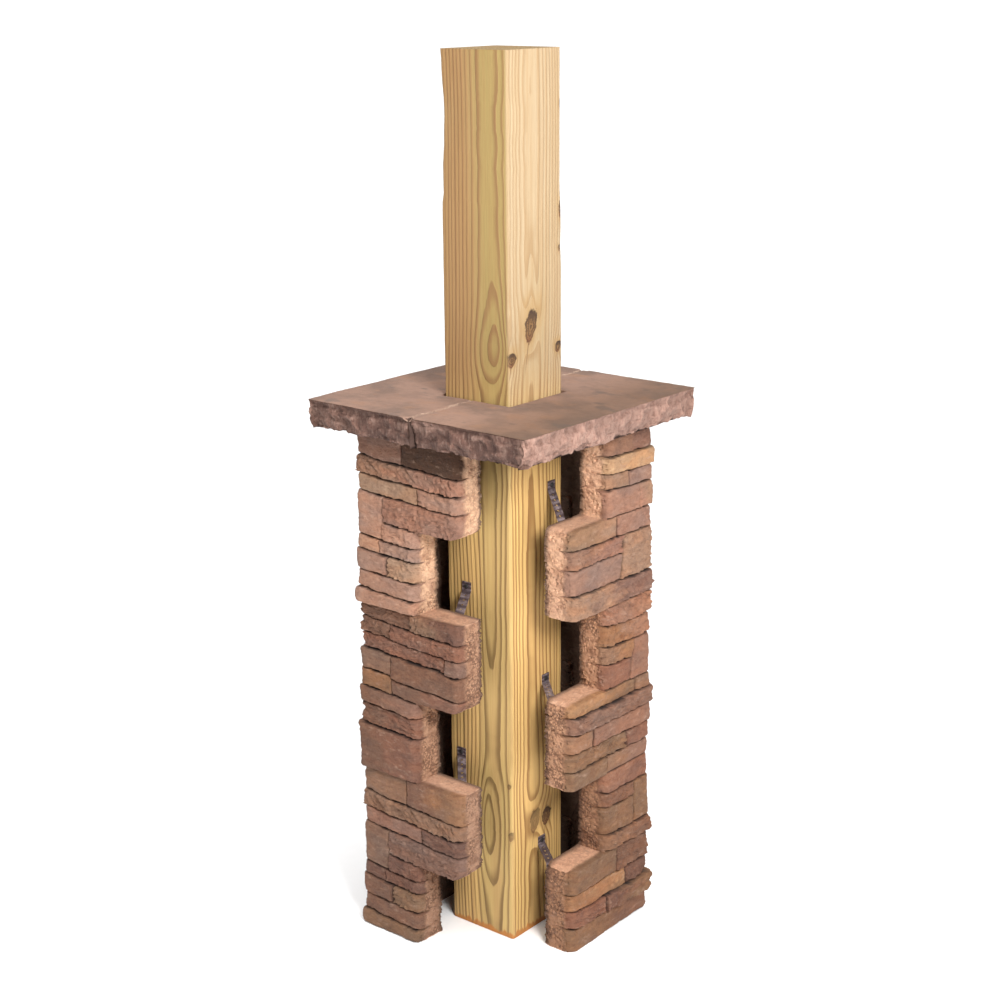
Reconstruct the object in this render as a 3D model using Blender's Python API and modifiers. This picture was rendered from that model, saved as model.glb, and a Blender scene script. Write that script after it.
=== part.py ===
"""Porch column wrap: cast ledgestone corner panels and a two-piece cap round a timber post.

The wrap stands on the floor at the origin, +Z up. Looking at the front edge of the post
along (-X, +Y), the left stack of corner panels stands at (-X, -Y), the right stack at
(+X, +Y) and the back stack at (-X, +Y). The front corner is left open.
"""

import math
import random
from typing import NamedTuple

import bmesh
import bpy
from mathutils import Matrix, Vector

MM = 0.001
FIT_GAP = 0.3 * MM

# Timber post
POST_SIDE = 139.7 * MM
POST_HEIGHT = 1524.0 * MM
POST_EASING = 5.0 * MM

# Ledgestone wrap
WRAP_SIDE = 364.0 * MM
MODULE_HEIGHT = 304.8 * MM
MODULE_COUNT = 3
PANEL_THICKNESS = 60.0 * MM
SHORT_TOOTH = 133.0 * MM
TOOTH_CLEARANCE = 1.5 * MM
LONG_TOOTH = WRAP_SIDE - SHORT_TOOTH - TOOTH_CLEARANCE
WRAP_HEIGHT = MODULE_HEIGHT * MODULE_COUNT

# Stones on the face of a panel
JOINT_DEPTH = 9.0 * MM
JOINT_WIDTH = 3.2 * MM
STONE_ROOT = 3.0 * MM
STONE_BEVEL = 3.6 * MM
CORNER_CHAMFER = 8.0 * MM
TOOTH_END_ROUNDING = 7.0 * MM
CORNER_RETURN = 78.0 * MM
HIDDEN_RETURN_LEAST = 0.55 * CORNER_RETURN
HIDDEN_RETURN_MOST = 1.3 * CORNER_RETURN
FACE_TILT = 1.6 * MM
PROUD_SPREAD = 2.0 * MM
OUTER_PROUD_SHARE = 0.4

# Slab cap in two halves
CAP_SIDE = 462.0 * MM
CAP_THICKNESS = 50.8 * MM
CAP_HOLE_CLEARANCE = 6.4 * MM
CAP_SEAM = 1.2 * MM
CAP_SEAM_PLACE = -5.0 * MM
CAP_EDGE_RELIEF = 9.0 * MM
CAP_FACETS_PER_SIDE = 13
CAP_FACET_SPREAD = 0.2

# Galvanised straps nailed to the post
STRAP_WIDTH = 19.0 * MM
STRAP_GAUGE = 1.2 * MM
STRAP_POST_TAB = 16.0 * MM
STRAP_PANEL_TAB = 26.0 * MM
STRAP_HOLE = 5.0 * MM
STRAP_HOLE_PITCH = 11.0 * MM
STRAP_EDGE_DROP = 3.0 * MM
NAIL_SHANK = 3.0 * MM
NAIL_LENGTH = 32.0 * MM
NAIL_HEAD = 9.0 * MM
NAIL_HEAD_HEIGHT = 1.6 * MM
NAIL_RIM_HEIGHT = 1.0 * MM
NAIL_CROWN = 6.4 * MM
NAIL_BORE_CLEARANCE = 0.3 * MM
NAIL_SIDES = 10
STRAP_HOLE_SIDES = 6

PANEL_INSIDE = WRAP_SIDE / 2 - PANEL_THICKNESS
STRAP_REACH = PANEL_INSIDE - POST_SIDE / 2


class Band(NamedTuple):
    """One course of stones over both legs of a panel, all lengths in millimetres.

    split is where the course divides, counted from the corner. corner and outer are the
    heights of the stones stacked on the corner side and beyond the split.
    """

    height: float
    proud: float
    split: float = 0.0
    corner: tuple = ()
    outer: tuple = ()


class Mould(NamedTuple):
    """The courses of one cast panel, bottom first, and the leg whose splits they give."""

    seen_leg: str
    tooth_courses: float
    bands: tuple


# The courses were read from the photograph, the ones of mould "back" are in keeping.
MOULDS = {
    "left_a": Mould("right", 147.0, (
        Band(24.0, 6.0),
        Band(32.0, 2.0),
        Band(36.0, 3.5, 68.0),
        Band(24.0, 0.5, 52.0),
        Band(78.0, -0.5, 60.0, (78.0,), (31.0, 47.0)),
        Band(30.0, -2.0, 140.0),
        Band(30.0, -1.0),
        Band(50.8, -3.0, 105.0),
    )),
    "left_b": Mould("right", 148.0, (
        Band(79.0, 4.5),
        Band(39.0, -1.0),
        Band(30.0, 3.0),
        Band(70.0, 0.0, 74.0, (32.0, 38.0), (28.0, 42.0)),
        Band(28.0, -4.0, 195.0),
        Band(29.0, -1.5, 72.0),
        Band(29.8, -2.5, 120.0),
    )),
    "right_a": Mould("left", 155.0, (
        Band(40.0, 2.5),
        Band(78.0, 0.5, 88.0, (78.0,), (46.0, 32.0)),
        Band(37.0, -1.0, 105.0),
        Band(46.0, 1.5, 42.0),
        Band(28.0, 0.0, 70.0),
        Band(31.0, 4.0),
        Band(44.8, -1.5, 63.0),
    )),
    "right_b": Mould("left", 155.0, (
        Band(32.0, -1.5, 126.0),
        Band(33.0, 0.5, 70.0),
        Band(34.0, 2.5, 170.0),
        Band(30.0, 5.5),
        Band(26.0, 1.5, 46.0),
        Band(76.0, -0.5, 56.0, (76.0,), (44.0, 32.0)),
        Band(36.0, -2.0),
        Band(37.8, 0.5),
    )),
    "right_c": Mould("left", 155.0, (
        Band(40.0, -1.0),
        Band(33.0, 7.0, 131.0),
        Band(34.0, 0.0, 69.0),
        Band(48.0, 1.5, 99.0),
        Band(31.0, 4.5),
        Band(79.0, 1.0, 48.0, (79.0,), (53.0, 26.0)),
        Band(39.8, -1.5),
    )),
    "back": Mould("right", 151.0, (
        Band(38.0, 2.0),
        Band(30.0, 0.0, 120.0),
        Band(45.0, 3.0, 70.0),
        Band(38.0, -1.0),
        Band(34.0, 1.0, 160.0),
        Band(48.0, -2.0, 80.0),
        Band(30.0, 0.5),
        Band(41.8, -1.0, 110.0),
    )),
}

STACKS = {
    "left": (Vector((-1, -1, 0)), 0.0, ("left_a", "left_b", "left_a")),
    "right": (Vector((1, 1, 0)), math.pi, ("right_c", "right_b", "right_a")),
    "back": (Vector((-1, 1, 0)), -math.pi / 2, ("back", "back", "back")),
}


class Strap(NamedTuple):
    """A strap: the post face it is nailed to, its module and where it runs, in millimetres.

    inset is how far its panel end stands back from the long tooth's end, skew how far the
    nail lies further back than that, and rise how far it stands above the tooth's top.
    """

    face: str
    module: int
    inset: float
    skew: float
    rise: float


STRAPS = (
    Strap("left", 1, 46.5, 44.0, 24.0),
    Strap("left", 2, 47.5, 26.0, 28.0),
    Strap("right", 1, 17.5, 40.0, 8.0),
    Strap("right", 2, 20.5, 49.0, 6.0),
    Strap("right", 3, 50.5, 36.0, 44.0),
)


class EdgeLevel(NamedTuple):
    """A ring of the cap's edge: its share of the thickness, and shares of the edge's relief."""

    level: float
    inset: float
    roughness: float


CAP_EDGE_LEVELS = (
    EdgeLevel(0.0, 0.55, 0.45),
    EdgeLevel(0.22, 0.1, 0.5),
    EdgeLevel(0.62, 0.0, 0.45),
    EdgeLevel(1.0, 0.5, 0.25),
)


def clear_scene():
    """Remove every object, so that the script can be run again."""
    for item in list(bpy.data.objects):
        bpy.data.objects.remove(item, do_unlink=True)


def new_collection(name):
    """Make a collection under the scene's own."""
    collection = bpy.data.collections.new(name)
    bpy.context.scene.collection.children.link(collection)
    return collection


def new_material(name, color, roughness, metallic=0.0):
    """Make a plain Principled material."""
    material = bpy.data.materials.new(name)
    material.use_nodes = True
    shader = material.node_tree.nodes["Principled BSDF"]
    shader.inputs["Base Color"].default_value = (*color, 1.0)
    shader.inputs["Roughness"].default_value = roughness
    shader.inputs["Metallic"].default_value = metallic
    return material


def add_object(name, shape, collection, material=None):
    """Turn a bmesh into an object in a collection."""
    mesh = bpy.data.meshes.new(name)
    shape.to_mesh(mesh)
    shape.free()
    if material is not None:
        mesh.materials.append(material)
    item = bpy.data.objects.new(name, mesh)
    collection.objects.link(item)
    return item


def add_cutter(name, shape, collection):
    """Turn a bmesh into an object that only cuts or joins others."""
    item = add_object(name, shape, collection)
    item.hide_render = True
    item.display_type = "WIRE"
    return item


def combine(item, other, operation):
    """Give an object an exact Boolean with another."""
    modifier = item.modifiers.new(other.name, "BOOLEAN")
    modifier.operation = operation
    modifier.solver = "EXACT"
    modifier.object = other


def add_box(shape, low, high):
    """Add a box between two corners to a bmesh and give back its vertices."""
    low = Vector(low)
    high = Vector(high)
    size = high - low
    place = Matrix.Translation((low + high) / 2) @ Matrix.Diagonal((*size, 1.0))
    return bmesh.ops.create_cube(shape, size=1.0, matrix=place)["verts"]


def add_prism(shape, outline, low, high):
    """Add an upright prism over a flat outline to a bmesh and give back its vertices."""
    curve = bpy.data.curves.new("outline", "CURVE")
    curve.dimensions = "2D"
    curve.fill_mode = "BOTH"
    curve.extrude = (high - low) / 2
    spline = curve.splines.new("POLY")
    spline.points.add(len(outline) - 1)
    for point, (x, y) in zip(spline.points, outline):
        point.co = (x, y, 0.0, 1.0)
    spline.use_cyclic_u = True
    holder = bpy.data.objects.new("outline", curve)
    bpy.context.scene.collection.objects.link(holder)
    bpy.context.view_layer.update()
    evaluated = holder.evaluated_get(bpy.context.evaluated_depsgraph_get())
    mesh = bpy.data.meshes.new_from_object(evaluated)
    mesh.transform(Matrix.Translation((0.0, 0.0, (low + high) / 2)))
    before = set(shape.verts)
    shape.from_mesh(mesh)
    added = [vert for vert in shape.verts if vert not in before]
    bmesh.ops.remove_doubles(shape, verts=added, dist=0.01 * MM)
    bpy.data.objects.remove(holder)
    bpy.data.curves.remove(curve)
    bpy.data.meshes.remove(mesh)
    return [vert for vert in shape.verts if vert not in before]


def edges_between(verts):
    """The edges whose two ends are both in a group of vertices."""
    group = set(verts)
    edges = {edge for vert in group for edge in vert.link_edges}
    return [edge for edge in edges if all(vert in group for vert in edge.verts)]


def merge_flat_faces(shape):
    """Dissolve the edges between faces in one plane, so that a prism's ends are one face."""
    bmesh.ops.dissolve_limit(
        shape,
        angle_limit=math.radians(0.1),
        verts=shape.verts[:],
        edges=shape.edges[:],
    )


def stone_on_leg(start, end, low, high, proud, ends_tooth, rng):
    """A single stone on the right-hand leg, its face towards -Y."""
    shape = bmesh.new()
    verts = add_box(shape, (start, -proud, low), (end, JOINT_DEPTH + STONE_ROOT, high))
    front = [vert for vert in verts if vert.co.y < JOINT_DEPTH / 2]
    if ends_tooth:
        round_tooth_end(shape, front, end)
        front = [vert for vert in shape.verts if vert.co.y < JOINT_DEPTH / 2]
    tilt = rng.uniform(-FACE_TILT, FACE_TILT)
    for vert in front:
        if vert.co.z > (low + high) / 2:
            vert.co.y += tilt
    bmesh.ops.bevel(
        shape,
        geom=edges_between(front),
        offset=min(STONE_BEVEL, (high - low) / 4),
        segments=1,
        affect="EDGES",
    )
    return shape


def round_tooth_end(shape, front, end):
    """Chamfer the upright edge where a stone meets the end of its tooth."""
    upright = [
        edge for edge in edges_between(front)
        if all(abs(vert.co.x - end) < FIT_GAP for vert in edge.verts)
    ]
    bmesh.ops.bevel(
        shape,
        geom=upright,
        offset=TOOTH_END_ROUNDING,
        segments=1,
        affect="EDGES",
    )


def corner_stone(right_end, left_end, low, high, proud, right_ends_tooth, left_ends_tooth):
    """A stone that wraps round the corner, one face towards -Y and one towards -X."""
    root = JOINT_DEPTH + STONE_ROOT
    right_cut = TOOTH_END_ROUNDING if right_ends_tooth else 0.0
    left_cut = TOOTH_END_ROUNDING if left_ends_tooth else 0.0
    outline = [
        (CORNER_CHAMFER - proud, -proud),
        (right_end - right_cut, -proud),
        (right_end, right_cut - proud),
        (right_end, root),
        (root, root),
        (root, left_end),
        (left_cut - proud, left_end),
        (-proud, left_end - left_cut),
        (-proud, CORNER_CHAMFER - proud),
    ]
    if not right_ends_tooth:
        outline.pop(2)
    if not left_ends_tooth:
        outline.remove((left_cut - proud, left_end))
    shape = bmesh.new()
    add_prism(shape, outline, low, high)
    merge_flat_faces(shape)
    reach = CORNER_CHAMFER - proud + FIT_GAP
    outer = [vert for vert in shape.verts if min(vert.co.x, vert.co.y) < min(reach, root / 2)]
    rims = [
        edge for edge in edges_between(outer)
        if abs(edge.verts[0].co.z - edge.verts[1].co.z) < FIT_GAP
    ]
    bmesh.ops.bevel(
        shape,
        geom=rims,
        offset=min(STONE_BEVEL, (high - low) / 4),
        segments=1,
        affect="EDGES",
    )
    return shape


def stacked(low, heights, total, height):
    """Heights of stones in a column, as low and high levels that fill the band."""
    heights = heights or (total,)
    levels = []
    for part in heights:
        top = low + height * part / sum(heights)
        levels.append((low, top))
        low = top
    return levels


def leg_length(leg, middle, step):
    """How far a leg runs at a level: long above the step on the right, below it on the left."""
    is_long = (middle > step) == (leg == "right")
    return LONG_TOOTH if is_long else SHORT_TOOTH


def turn_to_left_leg(shape):
    """Mirror a stone of the right-hand leg across the corner's diagonal."""
    swap = Matrix(((0, 1, 0, 0), (1, 0, 0, 0), (0, 0, 1, 0), (0, 0, 0, 1)))
    bmesh.ops.transform(shape, matrix=swap, verts=shape.verts[:])
    bmesh.ops.reverse_faces(shape, faces=shape.faces[:])


def append_shape(target, shape):
    """Add one bmesh to another."""
    mesh = bpy.data.meshes.new("stone")
    shape.to_mesh(mesh)
    shape.free()
    target.from_mesh(mesh)
    bpy.data.meshes.remove(mesh)


def make_stones(mould, rng):
    """All the stones on the face of one panel."""
    stones = bmesh.new()
    scale = MODULE_HEIGHT / sum(band.height for band in mould.bands)
    step = mould.tooth_courses * scale
    hidden_leg = "left" if mould.seen_leg == "right" else "right"
    half_joint = JOINT_WIDTH / 2
    low = 0.0
    for band in mould.bands:
        height = band.height * scale
        hidden_split = rng.uniform(HIDDEN_RETURN_LEAST, HIDDEN_RETURN_MOST)
        split = {mould.seen_leg: band.split * MM, hidden_leg: hidden_split}
        if not band.split:
            split[mould.seen_leg] = CORNER_RETURN * 2
        proud = band.proud * MM
        for bottom, top in stacked(low, band.corner, band.height, height):
            ends = {}
            closes = {}
            for leg in ("right", "left"):
                length = leg_length(leg, (bottom + top) / 2, step)
                closes[leg] = not band.split and leg == mould.seen_leg
                ends[leg] = length if closes[leg] else min(split[leg], length - half_joint)
                ends[leg] -= half_joint
            shape = corner_stone(
                ends["right"], ends["left"], bottom + half_joint, top - half_joint, proud,
                closes["right"], closes["left"],
            )
            append_shape(stones, shape)
        for leg in ("right", "left"):
            if not band.split and leg == mould.seen_leg:
                continue
            for bottom, top in stacked(low, band.outer, band.height, height):
                length = leg_length(leg, (bottom + top) / 2, step)
                start = split[leg] + half_joint
                stands = proud * OUTER_PROUD_SHARE + rng.uniform(-PROUD_SPREAD, PROUD_SPREAD)
                shape = stone_on_leg(
                    start, length - half_joint, bottom + half_joint, top - half_joint,
                    stands, True, rng,
                )
                if leg == "left":
                    turn_to_left_leg(shape)
                append_shape(stones, shape)
        low += height
    return stones, step


def make_backing(step):
    """The L-shaped slab behind the stones, with a short and a long tooth on each leg."""
    low = 0.0
    high = MODULE_HEIGHT - FIT_GAP
    face = JOINT_DEPTH
    back = PANEL_THICKNESS
    slab = bmesh.new()
    outline = [
        (face, face),
        (LONG_TOOTH, face),
        (LONG_TOOTH, back),
        (back, back),
        (back, LONG_TOOTH),
        (face, LONG_TOOTH),
    ]
    add_prism(slab, outline, low, high)
    merge_flat_faces(slab)
    spare = PANEL_THICKNESS / 2
    right_gap = bmesh.new()
    add_box(
        right_gap,
        (SHORT_TOOTH, -spare, -spare),
        (LONG_TOOTH + spare, back + spare, step),
    )
    left_gap = bmesh.new()
    add_box(
        left_gap,
        (-spare, SHORT_TOOTH, step),
        (back + spare, LONG_TOOTH + spare, MODULE_HEIGHT + spare),
    )
    return slab, right_gap, left_gap


def make_panel(name, mould_name, seed, parts, cutters, material):
    """One cast corner panel, modelled with its outer corner on the Z axis."""
    mould = MOULDS[mould_name]
    stones, step = make_stones(mould, random.Random(seed))
    slab, right_gap, left_gap = make_backing(step)
    panel = add_object(name, slab, parts, material)
    for label, shape, operation in (
        ("right_gap", right_gap, "DIFFERENCE"),
        ("left_gap", left_gap, "DIFFERENCE"),
        ("stones", stones, "UNION"),
    ):
        cutter = add_cutter(name + "_" + label, shape, cutters)
        cutter.parent = panel
        combine(panel, cutter, operation)
    return panel


def make_wrap(parts, cutters, material):
    """Three stacks of corner panels, the front corner left open."""
    for stack, (corner, turn, moulds) in STACKS.items():
        for module, mould_name in enumerate(moulds):
            name = "panel_%s_%d" % (stack, module + 1)
            panel = make_panel(name, mould_name, mould_name, parts, cutters, material)
            panel.location = corner * (WRAP_SIDE / 2)
            panel.location.z = module * MODULE_HEIGHT
            panel.rotation_euler.z = turn


def cap_outline(level_inset, roughness, rng):
    """Points round the cap's edge at one level, as a ragged square."""
    half = CAP_SIDE / 2 - level_inset
    points = []
    for side in range(4):
        turn = Matrix.Rotation(side * math.pi / 2, 2)
        for index in range(CAP_FACETS_PER_SIDE):
            along = -half + 2 * half * index / CAP_FACETS_PER_SIDE
            inset = rng.uniform(0.0, roughness)
            if index == 0:
                points.append(turn @ Vector((along + inset, -half + inset)))
            else:
                spread = rng.uniform(-CAP_FACET_SPREAD, CAP_FACET_SPREAD)
                along += spread * 2 * half / CAP_FACETS_PER_SIDE
                points.append(turn @ Vector((along, -half + inset)))
    return points


def make_cap_slab():
    """The whole cap, its rock-faced edge made of rings of points joined by faces."""
    rng = random.Random("cap")
    shape = bmesh.new()
    rings = []
    for share, inset, roughness in CAP_EDGE_LEVELS:
        ring = []
        outline = cap_outline(inset * CAP_EDGE_RELIEF, roughness * CAP_EDGE_RELIEF, rng)
        for point in outline:
            z = WRAP_HEIGHT + share * CAP_THICKNESS
            ring.append(shape.verts.new((point.x, point.y, z)))
        rings.append(ring)
    count = len(rings[0])
    for below, above in zip(rings, rings[1:]):
        for index in range(count):
            after = (index + 1) % count
            shape.faces.new((below[index], below[after], above[after], above[index]))
    shape.faces.new(rings[-1])
    shape.faces.new(list(reversed(rings[0])))
    bmesh.ops.triangulate(shape, faces=[face for face in shape.faces if len(face.verts) == 4])
    return shape


def make_cap(parts, cutters, material):
    """The cap's two halves, which meet in a seam and leave a hole for the post."""
    hole_half = POST_SIDE / 2 + CAP_HOLE_CLEARANCE
    spare = CAP_THICKNESS
    top = WRAP_HEIGHT + CAP_THICKNESS
    hole = bmesh.new()
    add_box(
        hole,
        (-hole_half, -hole_half, WRAP_HEIGHT - spare),
        (hole_half, hole_half, top + spare),
    )
    hole = add_cutter("cap_hole", hole, cutters)
    for name, side in (("cap_left_half", -1), ("cap_right_half", 1)):
        half = add_object(name, make_cap_slab(), parts, material)
        away = bmesh.new()
        seam_face = CAP_SEAM_PLACE + side * CAP_SEAM / 2
        far = -side * CAP_SIDE
        add_box(
            away,
            (min(seam_face, far), -CAP_SIDE, WRAP_HEIGHT - spare),
            (max(seam_face, far), CAP_SIDE, top + spare),
        )
        combine(half, hole, "DIFFERENCE")
        combine(half, add_cutter(name + "_cut", away, cutters), "DIFFERENCE")


def face_turn(face):
    """The turn that takes a face looking along +Y to one of the two open sides."""
    return math.pi if face == "left" else -math.pi / 2


def tooth_top(strap):
    """The level of the long tooth that a strap is fixed to."""
    if strap.face == "left":
        return strap.module * MODULE_HEIGHT
    mould = MOULDS[STACKS["right"][2][strap.module - 1]]
    share = mould.tooth_courses / sum(band.height for band in mould.bands)
    return (strap.module - 1 + share) * MODULE_HEIGHT


def strap_frame(strap):
    """Place of a strap's local frame: X along the post's face, Y outwards, origin on it."""
    turn = Matrix.Rotation(face_turn(strap.face), 4, "Z")
    tooth_end = LONG_TOOTH - WRAP_SIDE / 2
    nail_place = tooth_end - (strap.inset + strap.skew) * MM
    if strap.face == "left":
        place = Vector((nail_place, -POST_SIDE / 2, tooth_top(strap)))
    else:
        place = Vector((POST_SIDE / 2, -nail_place, tooth_top(strap)))
    return Matrix.Translation(place) @ turn


def strap_path(strap):
    """Middle line of a strap: up the panel's back, over the gap and up the post."""
    near = FIT_GAP + STRAP_GAUGE / 2
    towards_front_edge = -1 if strap.face == "left" else 1
    skew = strap.skew * MM * towards_front_edge
    rise = strap.rise * MM
    return [
        Vector((skew, STRAP_REACH - near, -STRAP_EDGE_DROP - STRAP_PANEL_TAB)),
        Vector((skew, STRAP_REACH - near, -STRAP_EDGE_DROP)),
        Vector((0.0, near, rise - STRAP_POST_TAB / 2)),
        Vector((0.0, near, rise + STRAP_POST_TAB / 2)),
    ]


def make_strap(name, strap, parts, cutters, material):
    """A perforated strap, bent at the panel's back and at the post."""
    path = strap_path(strap)
    shape = bmesh.new()
    rows = []
    for point in path:
        left = shape.verts.new(point - Vector((STRAP_WIDTH / 2, 0, 0)))
        right = shape.verts.new(point + Vector((STRAP_WIDTH / 2, 0, 0)))
        rows.append((left, right))
    for (a, b), (c, d) in zip(rows, rows[1:]):
        shape.faces.new((a, b, d, c))
    item = add_object(name, shape, parts, material)
    item.matrix_world = strap_frame(strap)
    shell = item.modifiers.new("gauge", "SOLIDIFY")
    shell.thickness = STRAP_GAUGE
    shell.offset = 0.0
    holes = bmesh.new()
    lean = path[2] - path[1]
    count = int(lean.length / STRAP_HOLE_PITCH)
    for index in range(1, count):
        add_hole(holes, path[1] + lean * index / count, lean, STRAP_HOLE)
    add_hole(holes, nail_point(path), path[3] - path[2], NAIL_SHANK + 2 * NAIL_BORE_CLEARANCE)
    cutter = add_cutter(name + "_holes", holes, cutters)
    cutter.parent = item
    combine(item, cutter, "DIFFERENCE")
    return item


def nail_point(path):
    """Where the nail passes through the strap's tab on the post."""
    return (path[2] + path[3]) / 2


def add_hole(shape, place, direction, diameter):
    """Add a short hexagonal cutter across a strap."""
    across = Vector((1.0, 0.0, 0.0)).cross(direction).normalized()
    turn = across.to_track_quat("Z", "X").to_matrix().to_4x4()
    bmesh.ops.create_cone(
        shape,
        cap_ends=True,
        segments=STRAP_HOLE_SIDES,
        radius1=diameter / 2,
        radius2=diameter / 2,
        depth=STRAP_GAUGE * 6,
        matrix=Matrix.Translation(place) @ turn,
    )


def rod_matrix(middle):
    """Lay a cone primitive's axis along the local Y axis."""
    return Matrix.Translation(middle) @ Matrix.Rotation(math.pi / 2, 4, "X")


def make_nail(name, strap, parts, material):
    """A flat-headed nail through a strap into the post."""
    middle = nail_point(strap_path(strap))
    face = middle.y + STRAP_GAUGE / 2 + FIT_GAP
    shape = bmesh.new()
    profile = (
        (0.0, face - NAIL_LENGTH),
        (NAIL_SHANK / 2, face - NAIL_LENGTH),
        (NAIL_SHANK / 2, face),
        (NAIL_HEAD / 2, face),
        (NAIL_HEAD / 2, face + NAIL_RIM_HEIGHT),
        (NAIL_CROWN / 2, face + NAIL_HEAD_HEIGHT),
        (0.0, face + NAIL_HEAD_HEIGHT),
    )
    verts = [shape.verts.new((radius, along, 0.0)) for radius, along in profile]
    for first, second in zip(verts, verts[1:]):
        shape.edges.new((first, second))
    item = add_object(name, shape, parts, material)
    item.matrix_world = strap_frame(strap) @ Matrix.Translation((middle.x, 0.0, middle.z))
    turned = item.modifiers.new("turned", "SCREW")
    turned.axis = "Y"
    turned.steps = NAIL_SIDES
    turned.render_steps = NAIL_SIDES
    turned.use_merge_vertices = True
    turned.merge_threshold = 0.01 * MM
    turned.use_normal_calculate = True
    return item


def make_post(parts, cutters, material):
    """The square post, its long edges eased and bored for the nails."""
    shape = bmesh.new()
    half = POST_SIDE / 2
    add_box(shape, (-half, -half, 0.0), (half, half, POST_HEIGHT))
    upright = [
        edge for edge in shape.edges
        if abs(edge.verts[0].co.z - edge.verts[1].co.z) > POST_HEIGHT / 2
    ]
    bmesh.ops.bevel(shape, geom=upright, offset=POST_EASING, segments=2, profile=0.5, affect="EDGES")
    post = add_object("post", shape, parts, material)
    bores = bmesh.new()
    for strap in STRAPS:
        middle = nail_point(strap_path(strap))
        depth = NAIL_LENGTH + NAIL_BORE_CLEARANCE
        place = Vector((middle.x, middle.y - depth / 2 + STRAP_GAUGE, middle.z))
        bmesh.ops.create_cone(
            bores,
            cap_ends=True,
            segments=NAIL_SIDES,
            radius1=NAIL_SHANK / 2 + NAIL_BORE_CLEARANCE,
            radius2=NAIL_SHANK / 2 + NAIL_BORE_CLEARANCE,
            depth=depth,
            matrix=strap_frame(strap) @ rod_matrix(place),
        )
    combine(post, add_cutter("nail_bores", bores, cutters), "DIFFERENCE")
    return post


def main():
    """Build the whole column wrap."""
    clear_scene()
    parts = new_collection("porch_column_wrap")
    cutters = new_collection("cutters")
    stone = new_material("cast_stone", (0.42, 0.29, 0.24), 0.9)
    cap = new_material("cast_cap", (0.36, 0.27, 0.23), 0.85)
    timber = new_material("treated_pine", (0.56, 0.41, 0.20), 0.75)
    steel = new_material("galvanised_strap", (0.33, 0.30, 0.30), 0.55, 0.8)
    nail = new_material("nail_steel", (0.10, 0.09, 0.09), 0.5, 0.9)
    make_post(parts, cutters, timber)
    make_wrap(parts, cutters, stone)
    make_cap(parts, cutters, cap)
    for strap in STRAPS:
        label = "%s_%d" % (strap.face, strap.module)
        make_strap("strap_" + label, strap, parts, cutters, steel)
        make_nail("nail_" + label, strap, parts, nail)


main()
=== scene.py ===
"""Porch column wrap: the finished looks of the post, the cast panels, the cap and the straps."""

import math
import random
from typing import NamedTuple

import bmesh
import bpy
import numpy as np
from bpy.props import FloatProperty, FloatVectorProperty, IntProperty, PointerProperty
from mathutils import Matrix, Vector


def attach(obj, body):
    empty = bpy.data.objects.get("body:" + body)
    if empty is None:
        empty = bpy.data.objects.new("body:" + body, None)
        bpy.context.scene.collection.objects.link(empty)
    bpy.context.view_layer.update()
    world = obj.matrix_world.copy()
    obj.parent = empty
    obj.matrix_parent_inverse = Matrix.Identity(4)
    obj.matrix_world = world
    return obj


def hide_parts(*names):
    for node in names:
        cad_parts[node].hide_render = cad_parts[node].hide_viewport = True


bl_info = {
    "name": "Porch column wrap",
    "version": (1, 0, 0),
    "blender": (4, 5, 0),
    "location": "View3D > Sidebar > Column wrap",
    "description": "Builds a timber post wrapped in cast ledgestone panels under a slab cap",
    "category": "Add Mesh",
}

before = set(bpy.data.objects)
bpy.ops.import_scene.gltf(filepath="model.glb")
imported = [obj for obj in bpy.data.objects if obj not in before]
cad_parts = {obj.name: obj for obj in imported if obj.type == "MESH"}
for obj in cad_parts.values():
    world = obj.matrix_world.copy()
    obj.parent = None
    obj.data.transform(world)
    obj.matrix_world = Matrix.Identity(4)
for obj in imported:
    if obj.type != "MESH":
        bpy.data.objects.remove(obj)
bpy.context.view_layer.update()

MM = 0.001

# Sizes of the solids, in millimetres
POST_SIDE = 139.7
POST_HEIGHT = 1524.0
WRAP_SIDE = 364.0
MODULE_HEIGHT = 304.8
WRAP_HEIGHT = 914.4
PANEL_THICKNESS = 60.0
SHORT_TOOTH = 133.0
LONG_TOOTH = 229.5
CORNER_RETURN = 78.0
PROUD_SPREAD = 2.0
CAP_SIDE = 462.0
CAP_THICKNESS = 50.8
CAP_HOLE = 152.5
CAP_SEAM = 1.2
CAP_SEAM_PLACE = -5.0

# Easing of the post's upright edges, and how many cuts let its arrises wane
EASED_EDGE = 5.0
POST_CUTS = 150

# The photograph's camera: yaw, pitch and roll in radians, its place in metres, and how wide
# its sensor is in millimetres
CAMERA_TURN = (0.6922, 0.2808, -0.0088)
CAMERA_PLACE = (1.898, -2.3009, 1.6386)
SENSOR_WIDTH = 36.0

# The soft lights: their size, their place and the point they look at, in metres
KEY_LIGHT = (0.7, (1.65, -0.95, 1.75), (0.0, 0.0, 1.1))
FILL_LIGHT = (2.2, (-1.9, -2.4, 1.9), (0.0, 0.0, 0.9))

# Heights on the surround between which the horizon fades and the sky sets in
HORIZON_BAND = (0.14, 0.30)
SKY_BAND = (0.45, 0.95)

# The floor lies just under the column's foot, in metres
FLOOR_LEVEL = -0.0005

# The tree's pith in the post, in millimetres from its axis
PITH = (28.0, -10.0)

# How far from its corner a leg is squeezed, so that the backs of both legs meet
CORNER_ROOM = 120.0

# Joints between the stones, in millimetres, and how near a tooth's end they fade out
JOINT_HALF = 1.65
JOINT_DEPTH = 10.0
END_FREE_OF_JOINTS = 7.0

# How much the courses of a leg drop towards its tooth's end, level at the pivot
LEFT_SLOPE = 0.05
RIGHT_SLOPE = -0.02
SLOPE_PIVOT = 120.0

# Upright joints of stones taller than this lean by so much from foot to top
TALL_STONE = 60.0
SPLIT_LEAN = 11.0

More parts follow.
